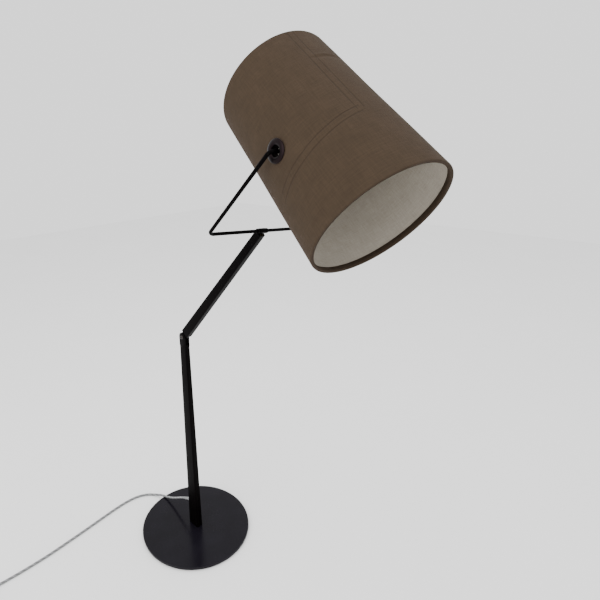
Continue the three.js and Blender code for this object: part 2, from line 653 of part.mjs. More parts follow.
function buildLampholder() {
  const stripLow = -BRIDGE_RISE - BRIDGE_THICKNESS;
  const capTop = -BRIDGE_RISE + TOUCH;
  const capEnd = capTop + HOLDER_CAP_LENGTH;
  const nippleEnd = capTop + 8;
  piece(shade, 'holder_nipple', ring(NIPPLE_BORE, NIPPLE_RADIUS, stripLow - 7, nippleEnd, 20), brass);
  const nut = cut(
    bar(NIPPLE_RADIUS + 4, stripLow - TOUCH - 3, stripLow - TOUCH, 6),
    bar(NIPPLE_RADIUS + RUNNING, stripLow - 9, stripLow + 1),
  );
  piece(shade, 'nipple_nut', nut, brass);
  const outer = HOLDER_RADIUS;
  piece(shade, 'lampholder_cap', turned([
    [NIPPLE_RADIUS + RUNNING, capTop],
    [outer - 7, capTop],
    [outer - 2, capTop + 4],
    [outer, capEnd],
    [outer - HOLDER_WALL, capEnd],
    [outer - 2 - HOLDER_WALL, capTop + 4 + HOLDER_WALL],
    [outer - 7 - HOLDER_WALL, capTop + HOLDER_WALL + 1],
    [NIPPLE_RADIUS + RUNNING, capTop + HOLDER_WALL + 1],
  ], 28), blackPlastic);
  const skirtTop = capEnd + TOUCH;
  const skirtEnd = skirtTop + HOLDER_SKIRT_LENGTH;
  piece(shade, 'lampholder_skirt', turned([
    [BULB_BASE_RADIUS + 2 * TOUCH, skirtTop],
    [outer, skirtTop],
    [outer - 0.6, skirtEnd],
    [outer - 0.6 - HOLDER_WALL, skirtEnd],
    [outer - HOLDER_WALL, skirtTop + 3],
    [BULB_BASE_RADIUS + 2 * TOUCH, skirtTop + 3],
  ], 28), blackPlastic);
  const baseEnd = skirtEnd - 1;
  const baseTop = baseEnd - BULB_BASE_LENGTH;
  piece(shade, 'bulb_cap', turned([
    [0, baseTop - 3],
    [5, baseTop - 3],
    [BULB_BASE_RADIUS - 2, baseTop],
    [BULB_BASE_RADIUS, baseTop + 2],
    [BULB_BASE_RADIUS, baseEnd],
    [0, baseEnd],
  ], 24), steel);
  piece(shade, 'bulb_globe', bulbShell(baseEnd + TOUCH), opalGlass);
}

/** The glass of a pear-shaped bulb, open at its neck: a neck that swells into a ball. */
function bulbShell(neck) {
  const tip = neck + BULB_LENGTH;
  const middle = tip - BULB_RADIUS;
  const neckRadius = BULB_BASE_RADIUS - 0.3;
  const outline = (inset) => {
    const radius = BULB_RADIUS - inset;
    const ball = Array.from({ length: 9 }, (_, k) => {
      const angle = THREE.MathUtils.lerp(deg(-38), deg(90), k / 8);
      return [radius * Math.cos(angle), middle + radius * Math.sin(angle)];
    });
    ball[8][0] = 0;
    return [[neckRadius - inset, neck], [neckRadius - inset + 0.6, neck + 6], ...ball];
  };
  return turned([...outline(0), ...outline(BULB_WALL).reverse(), outline(0)[0]].filter(
    (point, k, all) => k !== all.length - 1,
  ), 28);
}

// ---------------------------------------------------------------- cord, switch and plug
function buildCord() {
  const along = SLEEVE_LENGTH + TOUCH;
  const start = [
    sleeveButt[0] - along * Math.cos(deg(CORD_DROOP)), 0, sleeveButt[2] - along * Math.sin(deg(CORD_DROOP)),
  ];
  piece(lamp, 'cord_lead', cordTube([start, ...CORD_ROUTE], 52), clearPvc);
  piece(lamp, 'cord_to_coil', cordTube(CORD_TO_COIL, 4), clearPvc);
  piece(lamp, 'cord_to_plug', cordTube(CORD_TO_PLUG, 4), clearPvc);

  const [inner, outer] = [COIL_MEAN_RADIUS - 3 * CORD_RADIUS, COIL_MEAN_RADIUS + 3 * CORD_RADIUS];
  const [low, high] = [0.2, 0.4 + 4 * CORD_RADIUS];
  const corner = 2;
  piece(lamp, 'cord_coil', turned([
    [inner + corner, low], [outer - corner, low], [outer, low + corner], [outer, high - corner],
    [outer - corner, high], [inner + corner, high], [inner, high - corner], [inner, low + corner],
  ], 40).translate(...COIL_PLACE, 0), clearPvc);
}

function buildSwitch() {
  const body = new THREE.Group();
  body.position.set(...SWITCH_PLACE, 0);
  lamp.add(body);
  const seam = SWITCH_HEIGHT / 2;
  const layer = (inset, z0, z1) => new THREE.ExtrudeGeometry(
    roundedOutline(SWITCH_WIDTH - 2 * inset, SWITCH_LENGTH - 2 * inset, 8 - inset),
    { depth: z1 - z0, bevelEnabled: false, curveSegments: 5 },
  ).translate(0, 0, z0);
  piece(body, 'switch_lower_half', cut(
    layer(0, 0.2, seam),
    layer(SWITCH_WALL, 0.2 + SWITCH_WALL, seam + 1),
  ), blackPlastic);
  const axle = SWITCH_HEIGHT - 1.8;
  const window = block(ROCKER_WIDTH + 4 * RUNNING, ROCKER_LENGTH + 8 * RUNNING, seam, SWITCH_HEIGHT + 1);
  piece(body, 'switch_upper_half', cut(
    layer(0, seam + TOUCH, SWITCH_HEIGHT),
    layer(SWITCH_WALL, seam, SWITCH_HEIGHT - SWITCH_WALL),
    window,
  ), blackPlastic);

  const half = ROCKER_LENGTH / 2;
  const outline = new THREE.Shape();
  outline.moveTo(-half, -0.6);
  outline.lineTo(-half * 0.4, -3.6);
  outline.lineTo(half * 0.4, -3.6);
  outline.lineTo(half, -0.6);
  outline.lineTo(half, 2.4);
  outline.lineTo(0, 1.2);
  outline.lineTo(-half, 2.4);
  const rocker = new THREE.ExtrudeGeometry(outline, { depth: ROCKER_WIDTH, bevelEnabled: false })
    .translate(0, 0, -ROCKER_WIDTH / 2).rotateX(Math.PI / 2).rotateZ(Math.PI / 2);
  const rockerMesh = piece(body, 'switch_rocker', rocker, blackPlastic);
  rockerMesh.position.z = axle;
  rockerMesh.rotation.x = deg(ROCKER_TILT);
}

function buildPlug() {
  const plug = new THREE.Group();
  plug.position.set(...PLUG_PLACE, PLUG_HEIGHT / 2 + 0.2);
  lamp.add(plug);
  const [back, front, half] = [-PLUG_LENGTH / 2, PLUG_LENGTH / 2, PLUG_WIDTH / 2];
  const outline = new THREE.Shape();
  outline.moveTo(back, -5);
  outline.lineTo(back + 12, -half + 2);
  outline.lineTo(front - 6, -half);
  outline.lineTo(front, -half);
  outline.lineTo(front, half);
  outline.lineTo(front - 6, half);
  outline.lineTo(back + 12, half - 2);
  outline.lineTo(back, 5);
  const body = new THREE.ExtrudeGeometry(outline, { depth: PLUG_HEIGHT, bevelEnabled: false })
    .translate(0, 0, -PLUG_HEIGHT / 2);
  const pinPlaces = [-PIN_SPACING / 2, PIN_SPACING / 2];
  piece(plug, 'plug_body', body, blackPlastic);
  pinPlaces.forEach((y, k) => {
    const start = front + TOUCH;
    piece(plug, `plug_pin_${k + 1}`, alongX(bar(PIN_RADIUS, start, start + PIN_LENGTH, 14)).translate(0, y, 0), steel);
  });
}

buildFoot();
buildStem();
buildElbow();
buildArm();
buildTee();
buildFork();
buildShadeCloth();
buildEyelets();
buildBridge();
buildLampholder();
buildCord();
buildSwitch();
buildPlug();

export default lamp;
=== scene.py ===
"""A tall articulated desk lamp with a fabric shade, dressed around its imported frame.

Every surface is a grid of points: a profile turned about an axis, a section carried along a path, or a
formula of two parameters. Lengths are in metres. The lamp stands on z = 0 and leans towards +X.
"""

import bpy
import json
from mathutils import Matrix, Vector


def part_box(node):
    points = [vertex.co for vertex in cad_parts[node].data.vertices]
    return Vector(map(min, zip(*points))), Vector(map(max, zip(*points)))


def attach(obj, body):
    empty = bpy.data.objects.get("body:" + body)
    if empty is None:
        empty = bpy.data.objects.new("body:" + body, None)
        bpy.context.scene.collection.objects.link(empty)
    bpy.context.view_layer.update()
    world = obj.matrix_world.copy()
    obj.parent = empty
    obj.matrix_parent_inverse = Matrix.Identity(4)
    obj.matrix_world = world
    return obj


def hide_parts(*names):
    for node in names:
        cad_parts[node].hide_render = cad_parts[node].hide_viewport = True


bl_info = {
    "name": "Articulated Desk Lamp",
    "version": (1, 0, 0),
    "blender": (4, 5, 0),
    "location": "View3D > Sidebar > Desk Lamp",
    "description": "Builds the surfaces, materials and stage of a tall desk lamp with a fabric shade",
    "category": "Object",
}

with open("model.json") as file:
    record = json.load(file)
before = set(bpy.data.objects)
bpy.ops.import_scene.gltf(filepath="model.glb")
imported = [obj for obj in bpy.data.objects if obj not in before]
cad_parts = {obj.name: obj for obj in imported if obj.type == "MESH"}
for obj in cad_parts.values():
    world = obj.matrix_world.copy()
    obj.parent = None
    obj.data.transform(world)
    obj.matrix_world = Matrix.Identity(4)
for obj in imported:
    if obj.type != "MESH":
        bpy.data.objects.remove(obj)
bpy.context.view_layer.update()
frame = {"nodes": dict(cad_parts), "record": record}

import json
from math import cos, pi, radians, sin

import bmesh
import bpy
import numpy as np
from mathutils import Matrix, Vector

MM = 0.001
Z_AXIS = np.array([0.0, 0.0, 1.0])


# ------------------------------------------------------------------ places read from the frame
class Place:
    """An origin with an x, y and z axis of its own, for pieces that don't stand upright."""

    def __init__(self, origin, z, y=(0.0, 1.0, 0.0)):
        self.origin = np.array(origin, float)
        self.z = unit(z)
        self.x = unit(np.cross(y, self.z))
        self.y = np.cross(self.z, self.x)

    def put(self, points):
        """Points of this place, as points of the lamp."""
        return self.origin + np.asarray(points) @ np.array([self.x, self.y, self.z])

    def along(self, axis, offset=(0.0, 0.0, 0.0)):
        """A place whose z runs along one of this one's axes, such as "y" or "-y"."""
        sign = -1 if axis[0] == "-" else 1
        z = sign * getattr(self, axis[-1])
        side = self.z if axis[-1] == "y" else self.y
        return Place(self.put(offset), z, side)


def unit(v):
    """A vector's direction, with length 1."""
    v = np.asarray(v, float)
    return v / np.linalg.norm(v)


def middle(node):
    """The centre of a node's box."""
    low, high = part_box(node)
    return (np.array(low) + np.array(high)) / 2


def joint(name):
    """A joint's entry in the record."""
    return next(j for j in frame["record"]["behaviour"]["joints"] if j["name"] == name)


ELBOW = np.array(joint("elbow")["pos_m"])
BAR = np.array(joint("fork_tilt")["pos_m"])
PIVOT = np.array(joint("shade_tilt")["pos_m"])
BAR_AXIS = unit(joint("fork_tilt")["axis"])
STEM_PLACE = Place((0, 0, 0), Z_AXIS)
ARM_PLACE = Place(ELBOW, BAR - ELBOW)
TEE_PLACE = Place(BAR, BAR - ELBOW, BAR_AXIS)
FORK_PLACE = Place(BAR, PIVOT - BAR, BAR_AXIS)
SHADE_PLACE = Place(PIVOT, middle("opening_ring") - middle("top_ring"), BAR_AXIS)


# ------------------------------------------------------------------ sizes that a user would change
def size(name, about, default):
    """A length in metres."""
    return bpy.props.FloatProperty(
        name=name, description=about, default=default, min=0.0, unit="LENGTH", precision=4
    )


def colour(name, about, default):
    """A linear RGB colour."""
    return bpy.props.FloatVectorProperty(
        name=name, description=about, default=default, size=3, subtype="COLOR", min=0.0, max=1.0
    )


class LampFinishes(bpy.types.PropertyGroup):
    """The colours of the lamp's finishes."""

    coat: colour("Black coat", "Powder coat on the stem, arm and fork", (0.0012, 0.0008, 0.0009))
    plate: colour("Foot coat", "Greyer coat on the round foot", (0.0048, 0.0040, 0.0066))
    canvas: colour("Canvas", "Thread colour of the shade", (0.0415, 0.028, 0.0178))
    lining: colour("Lining", "Cloth inside the shade", (0.315, 0.287, 0.243))
    eyelet: colour("Eyelet", "Dark bronzed metal", (0.014, 0.0095, 0.0105))
    cord: colour("Cord", "Silvery strands under the clear jacket", (0.2, 0.205, 0.21))


class LampSizes(bpy.types.PropertyGroup):
    """The sizes of the surfaces that Blender adds to the frame."""

    plate_edge: size("Foot edge", "Round on the foot's rim", 0.0009)
    stem_corner: size("Stem corner", "Radius of the stem's long edges", 0.0014)
    arm_corner: size("Arm corner", "Radius of the arm's long edges", 0.0011)
    wall: size("Box wall", "Wall of the stem's and the arm's boxes", 0.0015)
    fork_half_width: size("Fork half width", "From the fork's middle to a prong", 0.1025)
    fork_bar_bend: size("Bar bend", "Radius of the bends beside the bar", 0.009)
    fork_eyelet_bend: size("Eyelet bend", "Radius of the bends beside the eyelets", 0.008)
    rod_radius: size("Rod radius", "Radius of the fork's tube", 0.0027)
    shade_above: size("Shade above", "From the eyelets to the closed side's rim", 0.141)
    shade_below: size("Shade below", "From the eyelets to the opening's rim", 0.123)
    shade_top_radius: size("Top radius", "Shade's radius at the closed side", 0.0858)
    shade_mouth_radius: size("Mouth radius", "Shade's radius at the opening", 0.0976)
    cloth: size("Cloth", "Thickness of the canvas", 0.001)
    hem: size("Hem", "Width of the hem that is folded inside", 0.0085)
    seam_width: size("Seam width", "Between the two stitched lines of a seam", 0.0095)
    cord_radius: size("Cord radius", "Radius of the cord's jacket", 0.0026)
    cord_length: size("Cord length", "Whole length of the cord", 1.91)


class LampStage(bpy.types.PropertyGroup):
    """The camera and the lights."""

    camera_place: bpy.props.FloatVectorProperty(
        name="Camera", description="Where the camera stands", size=3, subtype="TRANSLATION",
        default=(0.7388, -0.5371, 0.8831),
    )
    heading: bpy.props.FloatProperty(
        name="Heading", description="Compass angle of the view from +X", subtype="ANGLE",
        default=radians(137.815),
    )
    pitch: bpy.props.FloatProperty(
        name="Pitch", description="How far the camera looks down", subtype="ANGLE", default=radians(17.7)
    )
    roll: bpy.props.FloatProperty(
        name="Roll", description="How far the camera leans", subtype="ANGLE", default=radians(-1.766)
    )
    lens: bpy.props.FloatProperty(name="Lens", description="Focal length in mm", default=28.5)
    shift_x: bpy.props.FloatProperty(name="Shift X", description="Sideways shift", default=0.1167)
    shift_y: bpy.props.FloatProperty(name="Shift Y", description="Upwards shift", default=-0.0214)
    key: bpy.props.FloatProperty(name="Key light", description="Power in watts", default=24.0)
    fill: bpy.props.FloatProperty(name="Fill light", description="Power in watts", default=30.0)
    sky: bpy.props.FloatProperty(name="Sky", description="Strength of the pale surroundings", default=1.5)


# ------------------------------------------------------------------ shapes
def surface(name, points, around=False, along=False, metres=None, sharp=35.0):
    """A mesh object from a grid of points.

    points[i, j] is the surface at parameters i and j. around joins the last i to the first, and along the
    last j to the first. metres is the UV map: how far round each i is and how far along each j is, with one
    more value where the grid is joined.
    """
    points = np.asarray(points, float)
    rows, columns = points.shape[:2]
    rows_of_faces, columns_of_faces = rows - (not around), columns - (not along)
    i, j = np.meshgrid(np.arange(rows_of_faces), np.arange(columns_of_faces), indexing="ij")
    next_i, next_j = (i + 1) % rows, (j + 1) % columns
    quads = np.stack(
        [i * columns + j, next_i * columns + j, next_i * columns + next_j, i * columns + next_j], -1
    ).reshape(-1, 4)
    mesh = bpy.data.meshes.new(name)
    mesh.from_pydata(points.reshape(-1, 3).tolist(), [], quads.tolist())
    if metres is None:
        metres = np.linspace(0, 1, rows_of_faces + 1), np.linspace(0, 1, columns_of_faces + 1)
    wide, long = (np.asarray(values) for values in metres)
    corners = [np.stack([wide[i + a], long[j + b]], -1) for a, b in ((0, 0), (1, 0), (1, 1), (0, 1))]
    layer = mesh.uv_layers.new(name="UVMap")
    layer.data.foreach_set("uv", np.stack(corners, 2).reshape(-1).astype(np.float32))
    close_up(mesh, sharp)
    obj = bpy.data.objects.new(name, mesh)
    bpy.context.scene.collection.objects.link(obj)
    return obj


def close_up(mesh, sharp=35.0):
    """Merges a mesh's doubled points, turns its faces outwards and keeps only its real edges sharp."""
    b = bmesh.new()
    b.from_mesh(mesh)
    bmesh.ops.remove_doubles(b, verts=b.verts, dist=1e-6)
    bmesh.ops.recalc_face_normals(b, faces=b.faces)
    b.to_mesh(mesh)
    b.free()
    mesh.polygons.foreach_set("use_smooth", np.ones(len(mesh.polygons), bool))
    mesh.set_sharp_from_angle(angle=radians(sharp))


def turned(name, profile, place, segments=96, close=False, **more):
    """A profile of (radius, height) points turned about a place's z: (r cos t, r sin t, h).

    A profile that doesn't start and end on the axis is closed on itself when close is true.
    """
    profile = np.asarray(profile, float)
    t = np.linspace(0, 2 * pi, segments, endpoint=False)[:, None]
    r, h = profile[:, 0][None], profile[:, 1][None]
    points = np.stack([r * np.cos(t), r * np.sin(t), h + 0 * t], -1)
    return surface(name, place.put(points), around=True, along=close, **more)


def rounded(corners, radius, steps=5, closed=False):
    """A polyline whose corners are rounded: each corner becomes a quadratic arc that starts and ends
    radius away from it, or half its side."""
    corners = np.asarray(corners, float)
    count = len(corners)
    out = []
    for k in range(count):
        if not closed and k in (0, count - 1):
            out.append(corners[k][None])
            continue
        here, before, after = corners[k], corners[k - 1], corners[(k + 1) % count]
        reach = min(radius, np.linalg.norm(before - here) / 2, np.linalg.norm(after - here) / 2)
        start, end = here + reach * unit(before - here), here + reach * unit(after - here)
        s = np.linspace(0, 1, steps + 1)[:, None]
        out.append((1 - s) ** 2 * start + 2 * s * (1 - s) * here + s**2 * end)
    return np.concatenate(out)


def smooth_path(points, spacing):
    """A centripetal Catmull-Rom curve through points, with a point about every spacing."""
    p = np.asarray(points, float)
    p = np.concatenate([[2 * p[0] - p[1]], p, [2 * p[-1] - p[-2]]])
    knots = np.concatenate([[0], np.cumsum(np.linalg.norm(np.diff(p, axis=0), axis=1) ** 0.5)])
    out = []
    for k in range(1, len(p) - 2):
        steps = max(2, int(np.ceil(np.linalg.norm(p[k + 1] - p[k]) / spacing)))
        t = np.linspace(knots[k], knots[k + 1], steps, endpoint=False)[:, None]
        t0, t1, t2, t3 = knots[k - 1 : k + 3]
        a1 = (t1 - t) / (t1 - t0) * p[k - 1] + (t - t0) / (t1 - t0) * p[k]
        a2 = (t2 - t) / (t2 - t1) * p[k] + (t - t1) / (t2 - t1) * p[k + 1]
        a3 = (t3 - t) / (t3 - t2) * p[k + 1] + (t - t2) / (t3 - t2) * p[k + 2]
        b1 = (t2 - t) / (t2 - t0) * a1 + (t - t0) / (t2 - t0) * a2
        b2 = (t3 - t) / (t3 - t1) * a2 + (t - t1) / (t3 - t1) * a3
        out.append((t2 - t) / (t2 - t1) * b1 + (t - t1) / (t2 - t1) * b2)
    return np.concatenate(out + [p[-2:-1]])


def swept(name, path, radius, up, sides=16, **more):
    """A round section carried along a path: path + r (cos t * side + sin t * over), where side is square
    to the path and to up. The ends are closed on the path itself."""
    path = np.asarray(path, float)
    tangent = np.gradient(path, axis=0)
    tangent /= np.linalg.norm(tangent, axis=1)[:, None]
    side = np.cross(tangent, np.broadcast_to(up, tangent.shape))
    side /= np.linalg.norm(side, axis=1)[:, None]
    over = np.cross(side, tangent)
    t = np.linspace(0, 2 * pi, sides, endpoint=False)[:, None, None]
    r = np.broadcast_to(radius, len(path))[None, :, None]
    ring = path[None] + r * (np.cos(t) * side[None] + np.sin(t) * over[None])
    ends = np.broadcast_to(path[[0, -1]], (sides, 2, 3))
    points = np.concatenate([ends[:, :1], ring, ends[:, 1:]], 1)
    steps = np.linalg.norm(np.diff(points.mean(0), axis=0), axis=1)
    long = np.concatenate([[0], np.cumsum(steps)])
    metres = np.linspace(0, 2 * pi * float(np.mean(radius)), sides + 1), long
    return surface(name, points, around=True, metres=metres, **more)


def box_outline(depth, width, corner, steps=6):
    """A rounded rectangle in x and y, with arcs of the given radius at its corners."""
    t = np.linspace(0, pi / 2, steps + 1)
    arcs = []
    for k, (sx, sy) in enumerate(((1, 1), (-1, 1), (-1, -1), (1, -1))):
        centre = np.array([sx * (depth / 2 - corner), sy * (width / 2 - corner)])
        arcs.append(centre + corner * np.stack([np.cos(t + k * pi / 2), np.sin(t + k * pi / 2)], -1))
    return np.concatenate(arcs)


def box_tube(name, place, first, last, low, high, corner, wall, **more):
    """A tapered box with round edges and an open bore: a rounded rectangle carried from low to high, then
    back down inside the wall, with a small round at each rim."""
    rim = 0.0004
    stations = [(low + rim, 0.0), *((low + (high - low) * s, 0.0) for s in np.linspace(0.02, 0.98, 25))]
    stations += [(high - rim, 0.0), (high, rim), (high, wall - rim), (high - rim, wall)]
    stations += [(low + rim, wall), (low, wall - rim), (low, rim)]
    loops = []
    for z, inset in stations:
        s = (z - low) / (high - low)
        depth, width = (a + (b - a) * s - 2 * inset for a, b in zip(first, last))
        loop = box_outline(depth, width, max(corner - inset, 0.0003))
        loops.append(np.column_stack([loop, np.full(len(loop), z)]))
    points = np.stack(loops, 1)
    return surface(name, place.put(points), around=True, along=True, **more)


def softened(node, width, segments=3):
    """A copy of a CAD node whose hard edges are rounded by a bevel."""
    mesh = frame["nodes"][node].data.copy()
    mesh.materials.clear()
    b = bmesh.new()
    b.from_mesh(mesh)
    bmesh.ops.remove_doubles(b, verts=b.verts, dist=1e-6)
    bmesh.ops.dissolve_limit(b, angle_limit=radians(1.0), verts=b.verts, edges=b.edges)
    b.to_mesh(mesh)
    b.free()
    mesh.polygons.foreach_set("use_smooth", np.ones(len(mesh.polygons), bool))
    obj = bpy.data.objects.new(node + "_finished", mesh)
    bpy.context.scene.collection.objects.link(obj)
    bevel = obj.modifiers.new("Round edges", "BEVEL")
    bevel.width = width
    bevel.segments = segments
    bevel.limit_method = "ANGLE"
    bevel.angle_limit = radians(25.0)
    bevel.harden_normals = True
    return obj


def joined(name, *objects):
    """Several objects' meshes as one object."""
    b = bmesh.new()
    for obj in objects:
        b.from_mesh(obj.data)
    mesh = bpy.data.meshes.new(name)
    b.to_mesh(mesh)
    b.free()
    mesh.polygons.foreach_set("use_smooth", np.ones(len(mesh.polygons), bool))
    mesh.set_sharp_from_angle(angle=radians(35.0))
    result = bpy.data.objects.new(name, mesh)
    bpy.context.scene.collection.objects.link(result)
    for obj in objects:
        bpy.data.objects.remove(obj)
    return result


def finish_piece(obj, material, body, slot, *nodes):
    """Gives a piece its material and its body, and hides the CAD nodes that it stands for. slot is not used.
    """
    obj.data.materials.clear()
    obj.data.materials.append(material)
    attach(obj, body)
    if nodes:
        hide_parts(*nodes)
    return obj


# ------------------------------------------------------------------ materials
class Tree:
    """Adds nodes to a node tree, each from its type, its inputs by name and its properties."""

    def __init__(self, tree):
        self.tree = tree

    def give(self, socket, value):
        """Links an input to an output, or sets its value."""
        if isinstance(value, bpy.types.NodeSocket):
            self.tree.links.new(value, socket)
        else:
            socket.default_value = value

    def add(self, kind, inputs=None, **properties):
        made = self.tree.nodes.new(kind)
        for key, value in properties.items():
            setattr(made, key, value)
        for key, value in (inputs or {}).items():
            self.give(made.inputs[key], value)
        return made

    def noise(self, vector, scale, detail):
        """A noise's height, between 0 and 1."""
        inputs = {"Vector": vector, "Scale": scale, "Detail": detail}
        return self.add("ShaderNodeTexNoise", inputs).outputs["Fac"]

    def math(self, operation, *values):
        made = self.tree.nodes.new("ShaderNodeMath")
        made.operation = operation
        for socket, value in zip(made.inputs, values):
            self.give(socket, value)
        return made.outputs[0]

    def mix(self, factor, first, second):
        """A colour between two others."""
        made = self.add("ShaderNodeMix", data_type="RGBA")
        for key, value in ((0, factor), (6, first), (7, second)):
            self.give(made.inputs[key], value)
        return made.outputs[2]

    def span(self, value, low, high, to_low=0.0, to_high=1.0):
        """value carried from low..high to to_low..to_high, and kept there."""
        return self.add(
            "ShaderNodeMapRange",
            {"Value": value, "From Min": low, "From Max": high, "To Min": to_low, "To Max": to_high},
        ).outputs[0]


def group(name, inputs, outputs, build):
    """A shader node group with float or vector inputs and outputs, built once."""
    if name in bpy.data.node_groups:
        return bpy.data.node_groups[name]
    tree = bpy.data.node_groups.new(name, "ShaderNodeTree")
    for label, kind, default in inputs:
        socket = tree.interface.new_socket(label, in_out="INPUT", socket_type=kind)
        if default is not None:
            socket.default_value = default
    for label, kind in outputs:
        tree.interface.new_socket(label, in_out="OUTPUT", socket_type=kind)
    t = Tree(tree)
    given = t.add("NodeGroupInput").outputs
    wanted = t.add("NodeGroupOutput").inputs
    for label, value in build(t, given).items():
        tree.links.new(value, wanted[label])
    return tree


def grain_group():
    """Fine pebbled grain: two sizes of noise, for bump, and a slow drift for shade and gloss."""

    def build(t, given):
        place, scale = given["Vector"], given["Scale"]
        fine = t.noise(place, scale, 3.0)
        coarse = t.noise(place, t.math("MULTIPLY", scale, 0.22), 2.0)
        slow = t.noise(place, t.math("MULTIPLY", scale, 0.012), 4.0)
        height = t.math("ADD", fine, t.math("MULTIPLY", coarse, 1.6))
        return {"Height": height, "Drift": t.span(slow, 0.3, 0.7)}

    return group(
        "Pebbled Grain",
        [("Vector", "NodeSocketVector", None), ("Scale", "NodeSocketFloat", 2500.0)],
        [("Height", "NodeSocketFloat"), ("Drift", "NodeSocketFloat")],
        build,
    )


def scuff_group():
    """Faint handling marks: long thin noise streaks, kept where a broad noise is high."""

    def build(t, given):
        place = given["Vector"]
        stretched = t.add("ShaderNodeMapping", {"Vector": place, "Scale": (900.0, 900.0, 35.0)})
        streak = t.span(t.noise(stretched.outputs[0], 1.0, 2.0), 0.62, 0.72)
        broad = t.span(t.noise(place, 30.0, 3.0), 0.5, 0.68)
        specks = t.span(t.noise(place, 1400.0, 1.0), 0.74, 0.8)
        return {"Marks": t.math("MULTIPLY", streak, broad), "Specks": specks}

    return group(
        "Scuffs and Dust",
        [("Vector", "NodeSocketVector", None)],
        [("Marks", "NodeSocketFloat"), ("Specks", "NodeSocketFloat")],
        build,
    )


def weave_group():
    """Plain weave in metres: warp and weft ridges |sin|, one over the other on a checker, with slubs, which
    are threads that thicken for a short way, and a slow mottle."""

    def build(t, given):
        place, threads = given["Vector"], given["Threads"]
        u, v = t.add("ShaderNodeSeparateXYZ", {"Vector": place}).outputs[:2]
        sine_u, sine_v = (
            t.math("SINE", t.math("MULTIPLY", across, t.math("MULTIPLY", threads, pi))) for across in (u, v)
        )
        over = t.math("GREATER_THAN", t.math("MULTIPLY", sine_u, sine_v), 0.0)
        warp = t.math("MULTIPLY", over, t.math("ABSOLUTE", sine_u))
        weft = t.math("MULTIPLY", t.math("SUBTRACT", 1.0, over), t.math("ABSOLUTE", sine_v))
        height = t.math("POWER", t.math("ADD", warp, weft), 0.6)

        def slub(factors):
            vector = {0: place, "Scale": threads}
            scaled = t.add("ShaderNodeVectorMath", vector, operation="SCALE")
            mapped = t.add("ShaderNodeMapping", {"Vector": scaled.outputs[0], "Scale": factors})
            return t.noise(mapped.outputs[0], 1.0, 2.0)

        both_slubs = t.math("ADD", slub((0.5, 0.045, 1.0)), slub((0.045, 0.5, 1.0)))
        slubs = t.span(t.math("MULTIPLY", both_slubs, 0.5), 0.33, 0.67)
        mottle = t.span(t.noise(place, 38.0, 5.0), 0.3, 0.7)
        return {"Height": height, "Slubs": slubs, "Mottle": mottle}

    return group(
        "Plain Weave",
        [("Vector", "NodeSocketVector", None), ("Threads", "NodeSocketFloat", 1000.0)],
        [("Height", "NodeSocketFloat"), ("Slubs", "NodeSocketFloat"), ("Mottle", "NodeSocketFloat")],
        build,
    )


def new_material(name):
    """An empty node material, with its Principled shader and its tree."""
    made = bpy.data.materials.new(name)
    made.use_nodes = True
    return made, made.node_tree.nodes["Principled BSDF"], Tree(made.node_tree)


def set_shader(shader, **values):
    for key, value in values.items():
        shader.inputs[key.replace("_", " ")].default_value = value


def shade_of(rgb, factor):
    return (*(min(1.0, c * factor) for c in rgb), 1.0)


def object_coords(t):
    return t.add("ShaderNodeTexCoord").outputs["Object"]


def uv_coords(t):
    return t.add("ShaderNodeTexCoord").outputs["UV"]


def link(t, value, shader, name):
    t.tree.links.new(value, shader.inputs[name])


def bump(t, shader, height, strength, distance):
    made = t.add("ShaderNodeBump", {"Height": height, "Strength": strength, "Distance": distance})
    link(t, made.outputs[0], shader, "Normal")


def patterned(t, tree, vector, **values):
    """A node group's outputs, from its vector and its own values."""
    return t.add("ShaderNodeGroup", {"Vector": vector, **values}, node_tree=tree).outputs


def coated_metal(name, rgb, roughness, grain_scale=2600.0, grain_depth=0.00003, specular=0.25):
    """Powder coat over steel: pebbled grain, a slow drift of shade and gloss, faint scuffs and dust."""
    made, shader, t = new_material(name)
    set_shader(shader, Specular_IOR_Level=specular, Coat_Weight=0.0)
    place = object_coords(t)
    grain = patterned(t, grain_group(), place, Scale=grain_scale)
    scuffs = patterned(t, scuff_group(), place)
    tone = t.mix(grain["Drift"], shade_of(rgb, 0.82), shade_of(rgb, 1.2))
    dusty = t.mix(t.math("MULTIPLY", scuffs["Specks"], 0.35), tone, (0.2, 0.19, 0.18, 1.0))
    marked = t.mix(t.math("MULTIPLY", scuffs["Marks"], 0.3), dusty, shade_of(rgb, 3.0))
    link(t, marked, shader, "Base Color")
    drift = t.span(grain["Drift"], 0, 1, roughness - 0.05, roughness + 0.06)
    link(t, t.math("ADD", drift, t.math("MULTIPLY", scuffs["Marks"], 0.12)), shader, "Roughness")
    bump(t, shader, grain["Height"], 0.35, grain_depth)
    return made


def bare_metal(name, rgb, roughness, grain_scale=1800.0):
    """Plated or turned metal: fine grain, scuffs that turn rougher, and a little tarnish."""
    made, shader, t = new_material(name)
    set_shader(shader, Metallic=1.0)
    place = object_coords(t)
    grain = patterned(t, grain_group(), place, Scale=grain_scale)
    scuffs = patterned(t, scuff_group(), place)
    link(t, t.mix(grain["Drift"], shade_of(rgb, 0.75), shade_of(rgb, 1.1)), shader, "Base Color")
    drift = t.span(grain["Drift"], 0, 1, roughness, roughness + 0.12)
    link(t, t.math("ADD", drift, t.math("MULTIPLY", scuffs["Marks"], 0.2)), shader, "Roughness")
    bump(t, shader, grain["Height"], 0.2, 0.00002)
    return made


